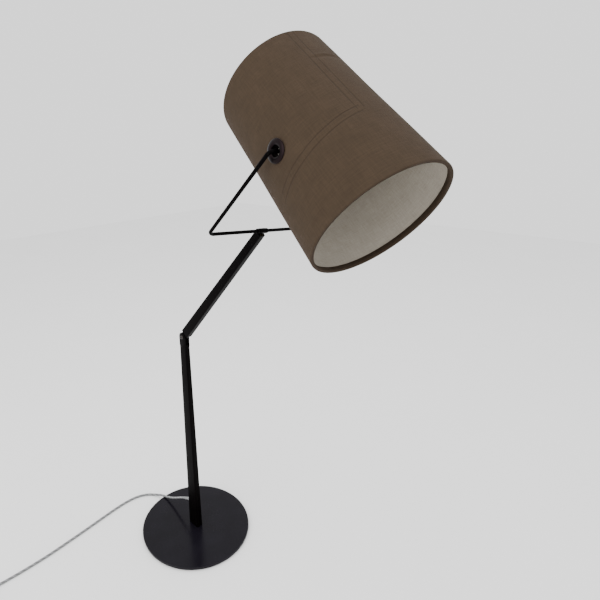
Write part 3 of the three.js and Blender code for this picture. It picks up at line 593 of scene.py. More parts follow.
def moulded(name, rgb, roughness, grain_scale=2200.0):
    """Moulded plastic or rubber with a spark-eroded texture and specks of dust."""
    made, shader, t = new_material(name)
    set_shader(shader, Specular_IOR_Level=0.16)
    place = object_coords(t)
    grain = patterned(t, grain_group(), place, Scale=grain_scale)
    scuffs = patterned(t, scuff_group(), place)
    tone = t.mix(grain["Drift"], shade_of(rgb, 0.88), shade_of(rgb, 1.12))
    dusty = t.mix(t.math("MULTIPLY", scuffs["Specks"], 0.3), tone, (0.25, 0.24, 0.22, 1.0))
    link(t, dusty, shader, "Base Color")
    link(t, t.span(grain["Drift"], 0, 1, roughness - 0.05, roughness + 0.08), shader, "Roughness")
    bump(t, shader, grain["Height"], 0.4, 0.00004)
    return made


def woven(name, rgb, threads, depth, fuzz, seams=None):
    """Woven cloth in metres of its own UV map. seams, given the tree and the UV, adds a seam's height and
    its shadow."""
    made, shader, t = new_material(name)
    set_shader(
        shader, Roughness=0.92, Specular_IOR_Level=0.12,
        Sheen_Weight=fuzz, Sheen_Roughness=0.55, Sheen_Tint=shade_of(rgb, 2.2),
    )
    place = uv_coords(t)
    weave = patterned(t, weave_group(), place, Threads=threads)
    # Thread colour follows the weave's height. This gives the weave's own over-and-under pattern, plus
    # painted shade that makes the hollows between threads half as bright as the crowns.
    weave_tone_and_hollow_shade = t.mix(weave["Height"], shade_of(rgb, 0.5), shade_of(rgb, 1.12))
    slubbed = t.mix(t.math("MULTIPLY", weave["Slubs"], 0.55), weave_tone_and_hollow_shade, shade_of(rgb, 1.5))
    tone = t.mix(t.math("MULTIPLY", weave["Mottle"], 0.22), slubbed, shade_of(rgb, 0.62))
    height = t.math("ADD", weave["Height"], t.math("MULTIPLY", weave["Slubs"], 0.8))
    # Painted shade: the seams' shadow darkens the canvas along the stitched lines and on the hems.
    if seams:
        raised, shadow = seams(t, place)
        tone = t.mix(t.math("MULTIPLY", shadow, 0.5), tone, shade_of(rgb, 0.45))
        height = t.math("SUBTRACT", height, t.math("MULTIPLY", raised, 2.6))
    link(t, tone, shader, "Base Color")
    bump(t, shader, height, 0.7, depth)
    return made


def canvas_seams(t, place):
    """Two seams in the canvas. One runs part of the way round the shade below the eyelets and rises as it
    goes, and the other runs along it, from the closed side down to the first. Each is a band with a
    stitched line at both edges: a line is 1 - |distance| / half its width. It returns the lines' height
    and a painted shade, darker along the stitched lines and on the hems at both rims."""
    sizes = bpy.context.scene.lamp_sizes
    u, v = t.add("ShaderNodeSeparateXYZ", {"Vector": place}).outputs[:2]
    half = sizes.seam_width / 2
    start, end = (cloth_u(angle) for angle in SEAM_ROUND_ANGLES)
    low, high = (height + sizes.shade_above for height in SEAM_ROUND_HEIGHTS)

    def ridge(distance):
        edge = t.math("ABSOLUTE", t.math("SUBTRACT", t.math("ABSOLUTE", distance), half))
        return t.span(edge, SEAM_LINE, 0.0)

    middle_line = t.span(u, start, end, low, high)
    from_round = t.math("SUBTRACT", v, middle_line)
    in_round = t.math("MULTIPLY", t.math("GREATER_THAN", u, start), t.span(u, end, end - SEAM_FADE))
    along = t.math("SUBTRACT", u, start)
    above = t.math("MULTIPLY", t.math("LESS_THAN", from_round, 0.0), t.math("GREATER_THAN", v, 0.0))
    round_seam = t.math("MULTIPLY", ridge(from_round), in_round)
    raised = t.math("MAXIMUM", round_seam, t.math("MULTIPLY", ridge(along), above))
    # Painted shade: from just round the mouth's rim onwards the canvas is darkened, so both hems, folded
    # inside, stay darker.
    rim = sizes.shade_above + sizes.shade_below
    hem_fold_shade = t.span(v, rim - HEM_SHADOW, rim)
    return raised, t.math("MAXIMUM", raised, t.math("MULTIPLY", hem_fold_shade, 0.9))


def glass(name, rgb):
    """Opal glass: milky, glossy, with a very faint unevenness."""
    made, shader, t = new_material(name)
    set_shader(shader, Specular_IOR_Level=0.5, Coat_Weight=0.4, Subsurface_Weight=0.3, Subsurface_Scale=0.01)
    grain = patterned(t, grain_group(), object_coords(t), Scale=900.0)
    link(t, t.mix(grain["Drift"], shade_of(rgb, 0.97), shade_of(rgb, 1.0)), shader, "Base Color")
    link(t, t.span(grain["Drift"], 0, 1, 0.12, 0.2), shader, "Roughness")
    return made


STRANDS = 2
CORD_GIRTH = 0.0163
STRAND_PITCH = 0.014


def clear_jacket(name, rgb):
    """A clear cord jacket over two silvery twisted strands: a sine across the cord turned along it."""
    made, shader, t = new_material(name)
    set_shader(shader, Specular_IOR_Level=0.5, Coat_Weight=0.8, Coat_Roughness=0.12)
    u, v = t.add("ShaderNodeSeparateXYZ", {"Vector": uv_coords(t)}).outputs[:2]
    around = t.math("MULTIPLY", u, 2 * pi / CORD_GIRTH * STRANDS)
    turn = t.math("ADD", around, t.math("MULTIPLY", v, 2 * pi / STRAND_PITCH))
    strand = t.span(t.math("SINE", turn), -0.7, 0.9)
    fine = t.math("SINE", t.math("ADD", t.math("MULTIPLY", u, 7000.0), t.math("MULTIPLY", v, 9000.0)))
    wires = t.math("MULTIPLY", strand, t.span(fine, -1.0, 1.0, 0.75, 1.0))
    link(t, t.mix(wires, shade_of(rgb, 0.42), shade_of(rgb, 1.15)), shader, "Base Color")
    link(t, t.span(strand, 0, 1, 0.0, 0.55), shader, "Metallic")
    link(t, t.span(strand, 0, 1, 0.45, 0.28), shader, "Roughness")
    bump(t, shader, strand, 0.25, 0.0002)
    return made


MATERIALS = {}


def materials():
    """The lamp's materials, one for each slot of the record."""
    if MATERIALS:
        return MATERIALS
    f = bpy.context.scene.lamp_finishes
    MATERIALS.update(
        black_paint=coated_metal("Satin Black Coat", f.coat, 0.4, specular=0.02),
        plate_paint=coated_metal("Foot Coat", f.plate, 0.2, grain_scale=1900.0, specular=0.12),
        gunmetal=bare_metal("Bronzed Eyelet", f.eyelet, 0.3),
        steel=bare_metal("Plated Steel", (0.42, 0.42, 0.43), 0.3),
        black_steel=bare_metal("Blackened Steel", (0.05, 0.045, 0.043), 0.3),
        brass=bare_metal("Turned Brass", (0.2, 0.14, 0.06), 0.34),
        canvas=woven("Taupe Canvas", f.canvas, 1050.0, 0.00025, 0.06, canvas_seams),
        lining=woven("Pale Lining", f.lining, 1500.0, 0.00012, 0.1),
        opal_glass=glass("Opal Glass", (0.88, 0.86, 0.8)),
        black_plastic=moulded("Black Plastic", (0.008, 0.008, 0.0085), 0.4),
        nylon=moulded("Natural Nylon", (0.28, 0.265, 0.24), 0.45),
        clear_pvc=clear_jacket("Clear Cord Jacket", f.cord),
        rubber=moulded("Black Rubber", (0.009, 0.009, 0.009), 0.8, grain_scale=1200.0),
    )
    return MATERIALS


# ------------------------------------------------------------------ the shade's cloth
SEAM_ROUND_ANGLES = (radians(202.0), radians(305.0))
SEAM_ROUND_HEIGHTS = (0.0225, 0.048)
SEAM_LINE = 0.0013
SEAM_FADE = 0.03
PLEAT_ANGLES = (radians(170.0), radians(205.0))
PLEAT_HEIGHT = -0.084
PLEAT_WIDTH = 0.0022
PLEAT_DEPTH = 0.0008
HEM_DEPTH = 0.0049
HEM_ROLL_SHARE = 0.56
HEM_ROUND = 0.0022
HEM_SHADOW = 0.0022
LAP = 0.0028
CLOTH_GAP = 0.0003
LINING_THICKNESS = 0.0006


def cloth_u(angle):
    """How far round the cloth an angle is, in metres at the shade's middle."""
    sizes = bpy.context.scene.lamp_sizes
    return angle * (sizes.shade_top_radius + sizes.shade_mouth_radius) / 2


def shade_radius(z):
    """The shade's radius at height z, which runs from -above at the closed side to below at the mouth."""
    s = bpy.context.scene.lamp_sizes
    share = (z + s.shade_above) / (s.shade_above + s.shade_below)
    return s.shade_top_radius + (s.shade_mouth_radius - s.shade_top_radius) * share


def cloth_ripple(angle, z):
    """How far the stretched cloth stands off a true cone: a few long waves, which die away at the two
    rings, and one short pleat, a narrow dip beside a ridge, that fades at its ends."""
    s = bpy.context.scene.lamp_sizes
    share = np.clip((z + s.shade_above) / (s.shade_above + s.shade_below), 0, 1)
    free = np.sin(pi * share)
    waves = 0.00035 * np.sin(3 * angle + 1.3) + 0.0002 * np.sin(7 * angle + 9 * share)
    waves = waves + 0.00012 * np.sin(16 * angle - 5 * share)
    first, last = PLEAT_ANGLES
    reach = np.clip((angle - first) / (last - first), 0, 1)
    across = (z - PLEAT_HEIGHT - 0.004 * reach) / PLEAT_WIDTH
    pleat = -PLEAT_DEPTH * np.sin(pi * reach) ** 0.7 * across * np.exp(0.5 - across**2 / 2)
    return free * waves + pleat


def cone_skin(name, profile, segments, **more):
    """A closed profile of (inset, z) carried round the shade: r = cone(z) - inset + ripple(angle, z)."""
    inset, z = np.asarray(profile, float).T
    angle = np.linspace(0, 2 * pi, segments, endpoint=False)[:, None]
    radius = shade_radius(z)[None] - inset[None] + cloth_ripple(angle, z[None])
    points = np.stack([radius * np.cos(angle), radius * np.sin(angle), z[None] + 0 * angle], -1)
    steps = np.linalg.norm(np.diff(np.column_stack([inset, z]), axis=0, append=[[inset[0], z[0]]]), axis=1)
    long = np.concatenate([[0], np.cumsum(steps)])
    metres = cloth_u(np.linspace(0, 2 * pi, segments + 1)), long
    return surface(name, SHADE_PLACE.put(points), around=True, along=True, metres=metres, **more)


def cut_round(obj, places, radius):
    """Cuts a round hole along each place's z, by a boolean that is applied."""
    reach = 0.03
    rod = [(0, -reach), (radius, -reach), (radius, reach), (0, reach)]
    cutter = joined("cutters", *(turned("cutter", rod, place, 48) for place in places))
    made = obj.modifiers.new("Hole", "BOOLEAN")
    made.operation = "DIFFERENCE"
    made.solver = "EXACT"
    made.object = cutter
    view = bpy.context.evaluated_depsgraph_get()
    mesh = bpy.data.meshes.new_from_object(obj.evaluated_get(view))
    obj.modifiers.clear()
    old = obj.data
    obj.data = mesh
    bpy.data.meshes.remove(old)
    bpy.data.objects.remove(cutter)
    mesh.polygons.foreach_set("use_smooth", np.ones(len(mesh.polygons), bool))
    mesh.set_sharp_from_angle(angle=radians(40.0))


def eyelet_places():
    """Where the two eyelets sit, left and right, each with its z pointing out of the shade."""
    return {
        "left": SHADE_PLACE.along("-y", (0, -shade_radius(0.0), 0)),
        "right": SHADE_PLACE.along("y", (0, shade_radius(0.0), 0)),
    }


def build_cloth():
    """The canvas with a hem round each ring, and the lining that stands just inside it."""
    s = bpy.context.scene.lamp_sizes
    top, mouth, hem = -s.shade_above, s.shade_below, s.hem
    outer = [(0.0, z) for z in np.linspace(top + 0.0016, mouth - 0.0016, 150)]
    inner = s.cloth
    roll = hem * HEM_ROLL_SHARE
    inside = [(HEM_DEPTH, roll), (LAP, hem - 0.001), (LAP, hem), (inner, hem), (inner, hem + 0.004)]
    turn = [(0.0, 0.0016), (0.0004, 0.0), (HEM_DEPTH, 0.0), *inside]
    mouth_hem = rounded([(d, mouth - h) for d, h in turn], HEM_ROUND, 6)
    top_hem = rounded([(d, top + h) for d, h in turn[::-1]], HEM_ROUND, 6)
    canvas = cone_skin("shade_canvas", np.concatenate([outer, mouth_hem[1:], top_hem[:-1]]), 420)
    lining_out = s.cloth + CLOTH_GAP
    lining_in = lining_out + LINING_THICKNESS
    low, high = top + hem - 0.001, mouth - hem + 0.001
    back = np.linspace(low, high, 90)
    profile = [(lining_out, z) for z in back] + [(lining_in, z) for z in back[::-1]]
    lining = cone_skin("shade_inner_cloth", profile, 300)
    places = list(eyelet_places().values())
    cut_round(canvas, places, EYELET_BARREL + 0.0002)
    cut_round(lining, places, EYELET_BARREL + 0.0002)
    made = materials()
    finish_piece(canvas, made["canvas"], "shade", "canvas", "shade_fabric")
    finish_piece(lining, made["lining"], "shade", "lining", "shade_lining")


# ------------------------------------------------------------------ eyelets, bridge, lampholder and bulb
EYELET_RADIUS = 0.015
EYELET_BORE = 0.007
EYELET_BARREL = 0.008
EYELET_DEPTH = 0.0101
EYELET_SEAT = 0.0009
WASHER_RADIUS = 0.0135
WASHER_SPAN = (-0.0048, -0.0034)
HOLDER_TOP = -0.0517
HOLDER_RADIUS = 0.019
HOLDER_WALL = 0.0016
CAP_BORE = 0.00515
CAP_DEPTH = 0.015
CAP_FLOOR = 0.0026
SKIRT_GAP = 0.0003
SKIRT_BORE = 0.0136
SKIRT_LENGTH = 0.028
RIB_SPAN = (0.004, 0.024)
RIB_PITCH = 0.0025
RIB_HEIGHT = 0.0004
BULB_NECK = 0.0127
BULB_LENGTH = 0.062
BULB_RADIUS = 0.0275
BUSH_RADIUS = 0.0095
BUSH_HALF = 0.005


def build_eyelets():
    """The two flared eyelets, and the washer inside the shade that each is closed on."""
    made = materials()
    seat = EYELET_SEAT
    flare = rounded(
        [(EYELET_BORE, -EYELET_DEPTH), (EYELET_BARREL, -EYELET_DEPTH), (EYELET_BARREL, seat),
         (EYELET_RADIUS, seat), (EYELET_RADIUS + 0.0002, seat + 0.0009),
         (EYELET_RADIUS - 0.0022, seat + 0.0020), (EYELET_BORE + 0.0025, seat + 0.0024),
         (EYELET_BORE, seat + 0.0012)],
        0.0014, 6, closed=True,
    )
    washer_bore = EYELET_BARREL + 0.0002
    ring = ring_profile(washer_bore, WASHER_RADIUS, *WASHER_SPAN, 0.0003, 3)
    for side, place in eyelet_places().items():
        eyelet = turned(f"eyelet_{side}_finished", flare, place, 96, close=True)
        finish_piece(eyelet, made["gunmetal"], "shade", "gunmetal", f"eyelet_{side}")
        washer = turned(f"eyelet_washer_{side}_finished", ring, place, 64, close=True)
        finish_piece(washer, made["gunmetal"], "shade", "gunmetal", f"eyelet_washer_{side}")


def ring_profile(bore, radius, low, high, corner, steps):
    """A square ring's section, from its bore to its radius and from low to high, with round corners."""
    corners = [(bore, low), (radius, low), (radius, high), (bore, high)]
    return rounded(corners, corner, steps, closed=True)


def build_lampholder():
    """The bridge between the eyelets, the lampholder and bulb that it carries on the shade's axis, and the
    bushes that the fork's ends turn in."""
    s = bpy.context.scene.lamp_sizes
    made = materials()
    finish_piece(softened("holder_bridge", 0.0004), made["steel"], "shade", "steel", "holder_bridge")
    finish_piece(softened("nipple_nut", 0.0003), made["brass"], "shade", "brass", "nipple_nut")
    top, radius, wall = HOLDER_TOP, HOLDER_RADIUS, HOLDER_WALL
    cap = rounded(
        [(CAP_BORE, top), (radius - 0.007, top), (radius, top + 0.004), (radius, top + CAP_DEPTH),
         (radius - wall, top + CAP_DEPTH), (radius - wall, top + 0.0055), (radius - 0.0085, top + CAP_FLOOR),
         (CAP_BORE, top + CAP_FLOOR)],
        0.0012, 5, closed=True,
    )
    cap_piece = turned("lampholder_cap_finished", cap, SHADE_PLACE, 96, close=True)
    finish_piece(cap_piece, made["black_plastic"], "shade", "black_plastic", "lampholder_cap")
    skirt_top = top + (CAP_DEPTH + SKIRT_GAP)
    ribs = np.linspace(skirt_top + RIB_SPAN[0], skirt_top + RIB_SPAN[1], 81)
    valley = RIB_HEIGHT * (0.5 + 0.5 * np.cos(2 * pi * (ribs - ribs[0]) / RIB_PITCH))
    skirt = [
        (SKIRT_BORE, skirt_top), (radius - 0.0004, skirt_top), (radius, skirt_top + 0.0006),
        *zip(radius - 0.0003 - valley, ribs),
        (radius - 0.0006, skirt_top + SKIRT_LENGTH - 0.0004), (radius - 0.001, skirt_top + SKIRT_LENGTH),
        (radius - 0.0022, skirt_top + SKIRT_LENGTH), (radius - wall, skirt_top + 0.004),
        (SKIRT_BORE, skirt_top + 0.003),
    ]
    skirt_piece = turned("lampholder_skirt_finished", skirt, SHADE_PLACE, 96, close=True)
    finish_piece(skirt_piece, made["black_plastic"], "shade", "black_plastic", "lampholder_skirt")
    bulb_piece = turned("bulb_globe_finished", bulb_profile(skirt_top + 0.0273), SHADE_PLACE, 96)
    finish_piece(bulb_piece, made["opal_glass"], "shade", "opal_glass", "bulb_globe")
    ring = ring_profile(s.rod_radius + RUNNING, BUSH_RADIUS, *fork_bush_span(), 0.0006, 4)
    for side, sign in (("left", "-y"), ("right", "y")):
        bush = turned(f"pivot_bush_{side}_finished", ring, SHADE_PLACE.along(sign), 64, close=True)
        finish_piece(bush, made["nylon"], "shade", "nylon", f"pivot_bush_{side}")


def bulb_profile(neck):
    """A ball on a neck: (r cos t, centre + r sin t) from below the ball's middle up to its crown."""
    centre = neck + BULB_LENGTH - BULB_RADIUS
    t = np.linspace(radians(-38), radians(90), 40)
    ball = np.column_stack([BULB_RADIUS * np.cos(t), centre + BULB_RADIUS * np.sin(t)])
    shoulder = rounded([(BULB_NECK, neck), (BULB_NECK + 0.0006, neck + 0.008), tuple(ball[0])], 0.006, 8)
    ball[-1] = (0.0, neck + BULB_LENGTH)
    return [(0.0, neck), (BULB_NECK, neck), *shoulder[1:-1], *ball]


def fork_bush_span():
    """How far out along the eyelets' axis the pivot bushes start and end, from their own boxes."""
    middle_out = float((middle("pivot_bush_right") - PIVOT) @ SHADE_PLACE.y)
    return middle_out - BUSH_HALF, middle_out + BUSH_HALF


# ------------------------------------------------------------------ fork and tee
RUNNING = 0.00015
TEE_HALF = 0.006
TEE_RADIUS = 0.0042
TEE_NECK = 0.0046
TEE_EDGE = 0.0003
SPIGOT_RADIUS = 0.002
SPIGOT_END = -0.0286
COLLAR = 0.004
COLLAR_LENGTH = 0.004
COLLAR_GAP = 0.0003


def build_fork():
    """The fork's bent tube with a collar each side of the tee, and the tee: a sleeve on a spigot."""
    s = bpy.context.scene.lamp_sizes
    made = materials()
    reach = float(np.linalg.norm(PIVOT - BAR))
    end = fork_bush_span()[0] - 0.001
    half = s.fork_half_width
    corners = [
        (0, -end, reach), (0, -half, reach), (0, -half, 0), (0, half, 0), (0, half, reach), (0, end, reach),
    ]
    bends = [s.fork_eyelet_bend, s.fork_bar_bend, s.fork_bar_bend, s.fork_eyelet_bend]
    path = FORK_PLACE.put(bent(corners, bends, 0.002))
    fork = swept("fork_tube_finished", path, s.rod_radius, FORK_PLACE.x, 24)
    finish_piece(fork, made["black_paint"], "fork", "black_paint", "fork_tube")
    bore, low = s.rod_radius + RUNNING, TEE_HALF + COLLAR_GAP
    ring = ring_profile(bore, COLLAR, low, low + COLLAR_LENGTH, 0.0004, 3)
    for side, sign in (("left", "-y"), ("right", "y")):
        collar = turned(f"rod_collar_{side}_finished", ring, FORK_PLACE.along(sign), 48, close=True)
        finish_piece(collar, made["black_paint"], "fork", "black_paint", f"rod_collar_{side}")
    sleeve = ring_profile(bore, TEE_RADIUS, -TEE_HALF, TEE_HALF, 0.0005, 4)
    shoulder = TEE_EDGE - TEE_NECK
    neck = [
        (0, SPIGOT_END), (SPIGOT_RADIUS, SPIGOT_END), (SPIGOT_RADIUS, shoulder),
        (TEE_RADIUS - TEE_EDGE, shoulder), (TEE_RADIUS, shoulder + TEE_EDGE), (TEE_RADIUS - 0.0006, -0.003),
        (0, -0.003),
    ]
    tee = joined(
        "fork_tee_finished",
        turned("sleeve", sleeve, TEE_PLACE.along("y"), 64, close=True),
        turned("neck", neck, TEE_PLACE, 64),
    )
    finish_piece(tee, made["black_paint"], "tee", "black_paint", "fork_tee")


def bent(corners, radii, spacing):
    """Straight runs joined by true arcs: an arc's points are its start plus r sin t along the run before it
    and r (1 - cos t) towards the inside."""
    corners = np.asarray(corners, float)
    out = [corners[:1]]
    for k, radius in enumerate(radii, 1):
        before, after = unit(corners[k] - corners[k - 1]), unit(corners[k + 1] - corners[k])
        turn = float(np.arccos(np.clip(before @ after, -1, 1)))
        start = corners[k] - before * radius * np.tan(turn / 2)
        inward = unit(after - before * (after @ before))
        out.append(run(out[-1][-1], start, spacing))
        t = np.linspace(0, turn, 13)[1:, None]
        out.append(start + radius * np.sin(t) * before + radius * (1 - np.cos(t)) * inward)
    out.append(run(out[-1][-1], corners[-1], spacing))
    return np.concatenate(out)


def run(start, end, spacing):
    """Points from just past start to end."""
    steps = max(2, int(np.linalg.norm(end - start) / spacing))
    return start + (end - start) * np.linspace(0, 1, steps + 1)[1:, None]


# ------------------------------------------------------------------ foot, stem, elbow and arm
ARM_ROOT = (0.0196, 0.013)
ARM_TIP = (0.0134, 0.012)
ARM_START = 0.0135
PIN_RADIUS = 0.0025
KNUCKLE_FACE = 0.00565
BOLT_HEAD = 0.0044
BOLT_END = 0.005
WASHER_IN = 0.00225
WASHER_OUT = 0.00305
ELBOW_WASHER_RADIUS = 0.0076


def build_foot():
    """The round foot, with a round at its rim and rings of faces across its top."""
    s = bpy.context.scene.lamp_sizes
    made = materials()
    low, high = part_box("base_plate")
    radius, bottom, top = (high[0] - low[0]) / 2, low[2], high[2]
    profile = rounded([(0, bottom), (radius, bottom), (radius, top), (0, top)], s.plate_edge, 8)
    inner = [(r, top) for r in np.linspace(radius * 0.95, 0.002, 24)]
    profile = np.concatenate([profile[:-1], inner, profile[-1:]])
    plate = turned("base_plate_finished", profile, STEM_PLACE, 220)
    finish_piece(plate, made["plate_paint"], "base", "plate_paint", "base_plate")


def build_boxes():
    """The stem's and the arm's tapered boxes."""
    s = bpy.context.scene.lamp_sizes
    made = materials()
    low, high = (np.array(corner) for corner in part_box("stem"))
    knuckle_low, knuckle_high = (np.array(corner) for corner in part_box("stem_knuckle"))
    foot_size, knuckle_size = (high - low)[:2], (knuckle_high - knuckle_low)[:2]
    stem = box_tube(
        "stem_finished", STEM_PLACE, foot_size, knuckle_size, low[2], high[2], s.stem_corner, s.wall
    )
    finish_piece(stem, made["black_paint"], "base", "black_paint", "stem")
    reach = float(np.linalg.norm(BAR - ELBOW))
    arm_end = reach - TEE_NECK
    arm = box_tube("arm_finished", ARM_PLACE, ARM_ROOT, ARM_TIP, ARM_START, arm_end, s.arm_corner, s.wall)
    finish_piece(arm, made["black_paint"], "arm", "black_paint", "arm")


def build_elbow():
    """The two knuckles, and the bolt, nut and washers that hold them."""
    made = materials()
    finish_piece(softened("stem_knuckle", 0.0005), made["black_paint"], "base", "black_paint", "stem_knuckle")
    finish_piece(softened("arm_knuckle", 0.0004), made["black_paint"], "arm", "black_paint", "arm_knuckle")
    finish_piece(softened("elbow_nut", 0.0004), made["black_steel"], "base", "black_steel", "elbow_nut")
    face, end = KNUCKLE_FACE, -KNUCKLE_FACE - BOLT_END
    profile = [
        (0, end), (PIN_RADIUS - 0.0003, end), (PIN_RADIUS, end + 0.0003), (PIN_RADIUS, face),
        (BOLT_HEAD, face), (BOLT_HEAD, face + 0.0006), (BOLT_HEAD - 0.0004, face + 0.0014),
        (0.0032, face + 0.0021), (0.0022, face + 0.0024), (0.0014, face + 0.0024),
        (0.0013, face + 0.0022), (0.0013, face + 0.001), (0, face + 0.001),
    ]
    bolt = turned("elbow_bolt_finished", profile, Place(ELBOW, (0, -1, 0), Z_AXIS), 64)
    finish_piece(bolt, made["black_steel"], "base", "black_steel", "elbow_bolt")
    ring = ring_profile(PIN_RADIUS + RUNNING, ELBOW_WASHER_RADIUS, WASHER_IN, WASHER_OUT, 0.0002, 3)
    for side, axis in (("left", (0, -1, 0)), ("right", (0, 1, 0))):
        washer = turned(f"elbow_washer_{side}_finished", ring, Place(ELBOW, axis, Z_AXIS), 64, close=True)
        finish_piece(washer, made["nylon"], "base", "nylon", f"elbow_washer_{side}")


# ------------------------------------------------------------------ cord, switch and plug
CORD_ROUTE_MM = [
    (-49.5, 0, 48.5), (-60, -0.2, 42), (-72, -0.6, 34.2), (-84, -1.2, 26.8), (-97, -2, 19.8),
    (-110, -3, 14.4), (-121, -4.4, 11.4), (-132, -6.8, 8.6), (-144, -11, 5.2), (-155, -17.5, 3.1),
    (-165, -27, 2.8), (-173, -40, 2.8), (-178.5, -57, 2.8), (-181, -80, 2.8), (-180, -110, 2.8),
    (-176, -150, 2.8), (-171, -195, 2.8), (-166, -245, 2.8), (-162, -295, 2.8), (-161, -342, 2.8),
    (-162, -385, 2.9), (-162, -408, 4.6), (-162, -421.1, 6.6),
]
CORD_DROOP = radians(27.0)
COIL_TURNS = 6
COIL_JOG = (radians(290.0), radians(350.0))
COIL_RISE = (radians(225.0), radians(290.0))
COIL_BOTTOM = 0.0029
SWITCH_AXLE = 0.0068
SLEEVE_BUTT = 0.0041
SLEEVE_TIP = 0.0031
SLEEVE_LENGTH = 0.022
GROOVE_PITCH = 0.0031
GROOVE_DEPTH = 0.00035
GLAND_BORE = 0.0028
GLAND_NECK = 0.0044
GLAND_LIP = 0.0014
TIE_HALF_WIDTH = 0.0025
TIE_ANGLE = radians(20.0)


def coil_path(centre, mean_radius, pitch, bottom):
    """Six turns, three side by side below and three above: each keeps its radius for most of a turn and
    moves over by one diameter near its end, and the third climbs by one diameter just before that."""
    radii = mean_radius + pitch * np.array([1, 0, -1, -1, 0, 1, 1])
    heights = bottom + pitch * np.array([0, 0, 0, 1, 1, 1, 1])

    def ease(t, window):
        s = np.clip((t - window[0]) / (window[1] - window[0]), 0, 1)
        return s * s * (3 - 2 * s)

    t = np.arange(0, COIL_TURNS * 2 * pi + pi / 2 + 0.01, pi / 36)
    turn = np.minimum((t / (2 * pi)).astype(int), COIL_TURNS)
    local = t - 2 * pi * turn
    after = np.minimum(turn + 1, COIL_TURNS)
    radius = radii[turn] + (radii[after] - radii[turn]) * ease(local, COIL_JOG)
    height = heights[turn] + (heights[after] - heights[turn]) * ease(local, COIL_RISE)
    return np.column_stack([centre[0] + radius * np.cos(t + pi), centre[1] + radius * np.sin(t + pi), height])


def cord_path():
    """The cord's whole centreline, from the sleeve's tip to the plug."""
    s = bpy.context.scene.lamp_sizes
    sleeve = sleeve_place()
    coil = middle("cord_coil")
    plug_low, plug_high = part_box("plug_body")
    switch_low, switch_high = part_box("switch_lower_half")
    switch_x, plug_y = (switch_low[0] + switch_high[0]) / 2, (plug_low[1] + plug_high[1]) / 2
    gap = 2 * s.cord_radius
    turns = coil_path(coil[:2], float(coil[1] - plug_y) - gap, gap, COIL_BOTTOM)
    route = [sleeve.put((0, 0, 0.0)), sleeve.put((0, 0, 0.011)), sleeve.put((0, 0, 0.0222))]
    route += [np.array(point) * MM for point in CORD_ROUTE_MM]
    inside_switch = np.linspace(switch_high[1] - 0.006, switch_low[1] + 0.006, 4)
    route += [(switch_x, y, SWITCH_AXLE) for y in inside_switch]
    route += [(switch_x, switch_low[1] - 0.008, 0.0058), (switch_x, switch_low[1] - 0.018, 0.0037)]
    last = turns[-1]
    ends = [(last[0] + 0.010, last[1], last[2] - 0.0004), (plug_low[0] - 0.006, plug_y, 0.0072)]
    ends += [(plug_low[0] + 0.006, plug_y, 0.007)]
    return np.concatenate([
        smooth_path([*route, turns[0]], 0.003)[:-1], turns[:-1], smooth_path([turns[-1], *ends], 0.003),
    ])


def sleeve_place():
    """The tapered sleeve's butt and direction, from its box and its droop."""
    low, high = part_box("cord_sleeve")
    direction = np.array([-cos(CORD_DROOP), 0, -sin(CORD_DROOP)])
    return Place((high[0] - SLEEVE_BUTT, (low[1] + high[1]) / 2, high[2] - SLEEVE_BUTT), direction)


def build_cord():
    """The mains cord as one swept piece, with the pieces that it carries."""
    s = bpy.context.scene.lamp_sizes
    made = materials()
    path = cord_path()
    cord = swept("mains_cord", path, s.cord_radius, Z_AXIS, 16)
    nodes = ("cord_lead", "cord_to_coil", "cord_coil", "cord_to_plug")
    finish_piece(cord, made["clear_pvc"], "base", "clear_pvc", *nodes)
    sleeve = turned("cord_sleeve_finished", sleeve_profile(), sleeve_place(), 48)
    finish_piece(sleeve, made["clear_pvc"], "base", "clear_pvc", "cord_sleeve")
    low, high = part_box("cord_gland")
    half = (high[0] - low[0]) / 2
    ring = rounded(
        [(GLAND_BORE, -half), (GLAND_NECK, -half), (GLAND_NECK, half - GLAND_LIP), (0.006, half - GLAND_LIP),
         (0.0058, half), (GLAND_BORE, half)],
        0.0005, 4, closed=True,
    )
    gland = turned("cord_gland_finished", ring, Place(middle("cord_gland"), (-1, 0, 0)), 48, close=True)
    finish_piece(gland, made["black_plastic"], "base", "black_plastic", "cord_gland")
    tie = build_tie()
    pieces = [tie, sleeve, gland, *build_switch_and_plug()]


def sleeve_profile():
    """A round butt, then a taper with grooves round it: r = taper(z) - depth (1 - cos z) / 2."""
    s = bpy.context.scene.lamp_sizes
    z = np.linspace(0, SLEEVE_LENGTH, 111)
    taper = SLEEVE_BUTT + (SLEEVE_TIP - SLEEVE_BUTT) * z / SLEEVE_LENGTH
    grooved = (z > 0.003) * (z < 0.0205)
    groove = GROOVE_DEPTH * (0.5 - 0.5 * np.cos(2 * pi * z / GROOVE_PITCH)) * grooved
    t = np.linspace(-pi / 2, 0, 9)[:-1]
    butt = np.column_stack([SLEEVE_BUTT * np.cos(t), SLEEVE_BUTT * np.sin(t)])
    butt[0, 0] = 0
    tip = [(s.cord_radius, SLEEVE_LENGTH), (0, SLEEVE_LENGTH)]
    return np.concatenate([butt, np.column_stack([taper - groove, z]), tip])


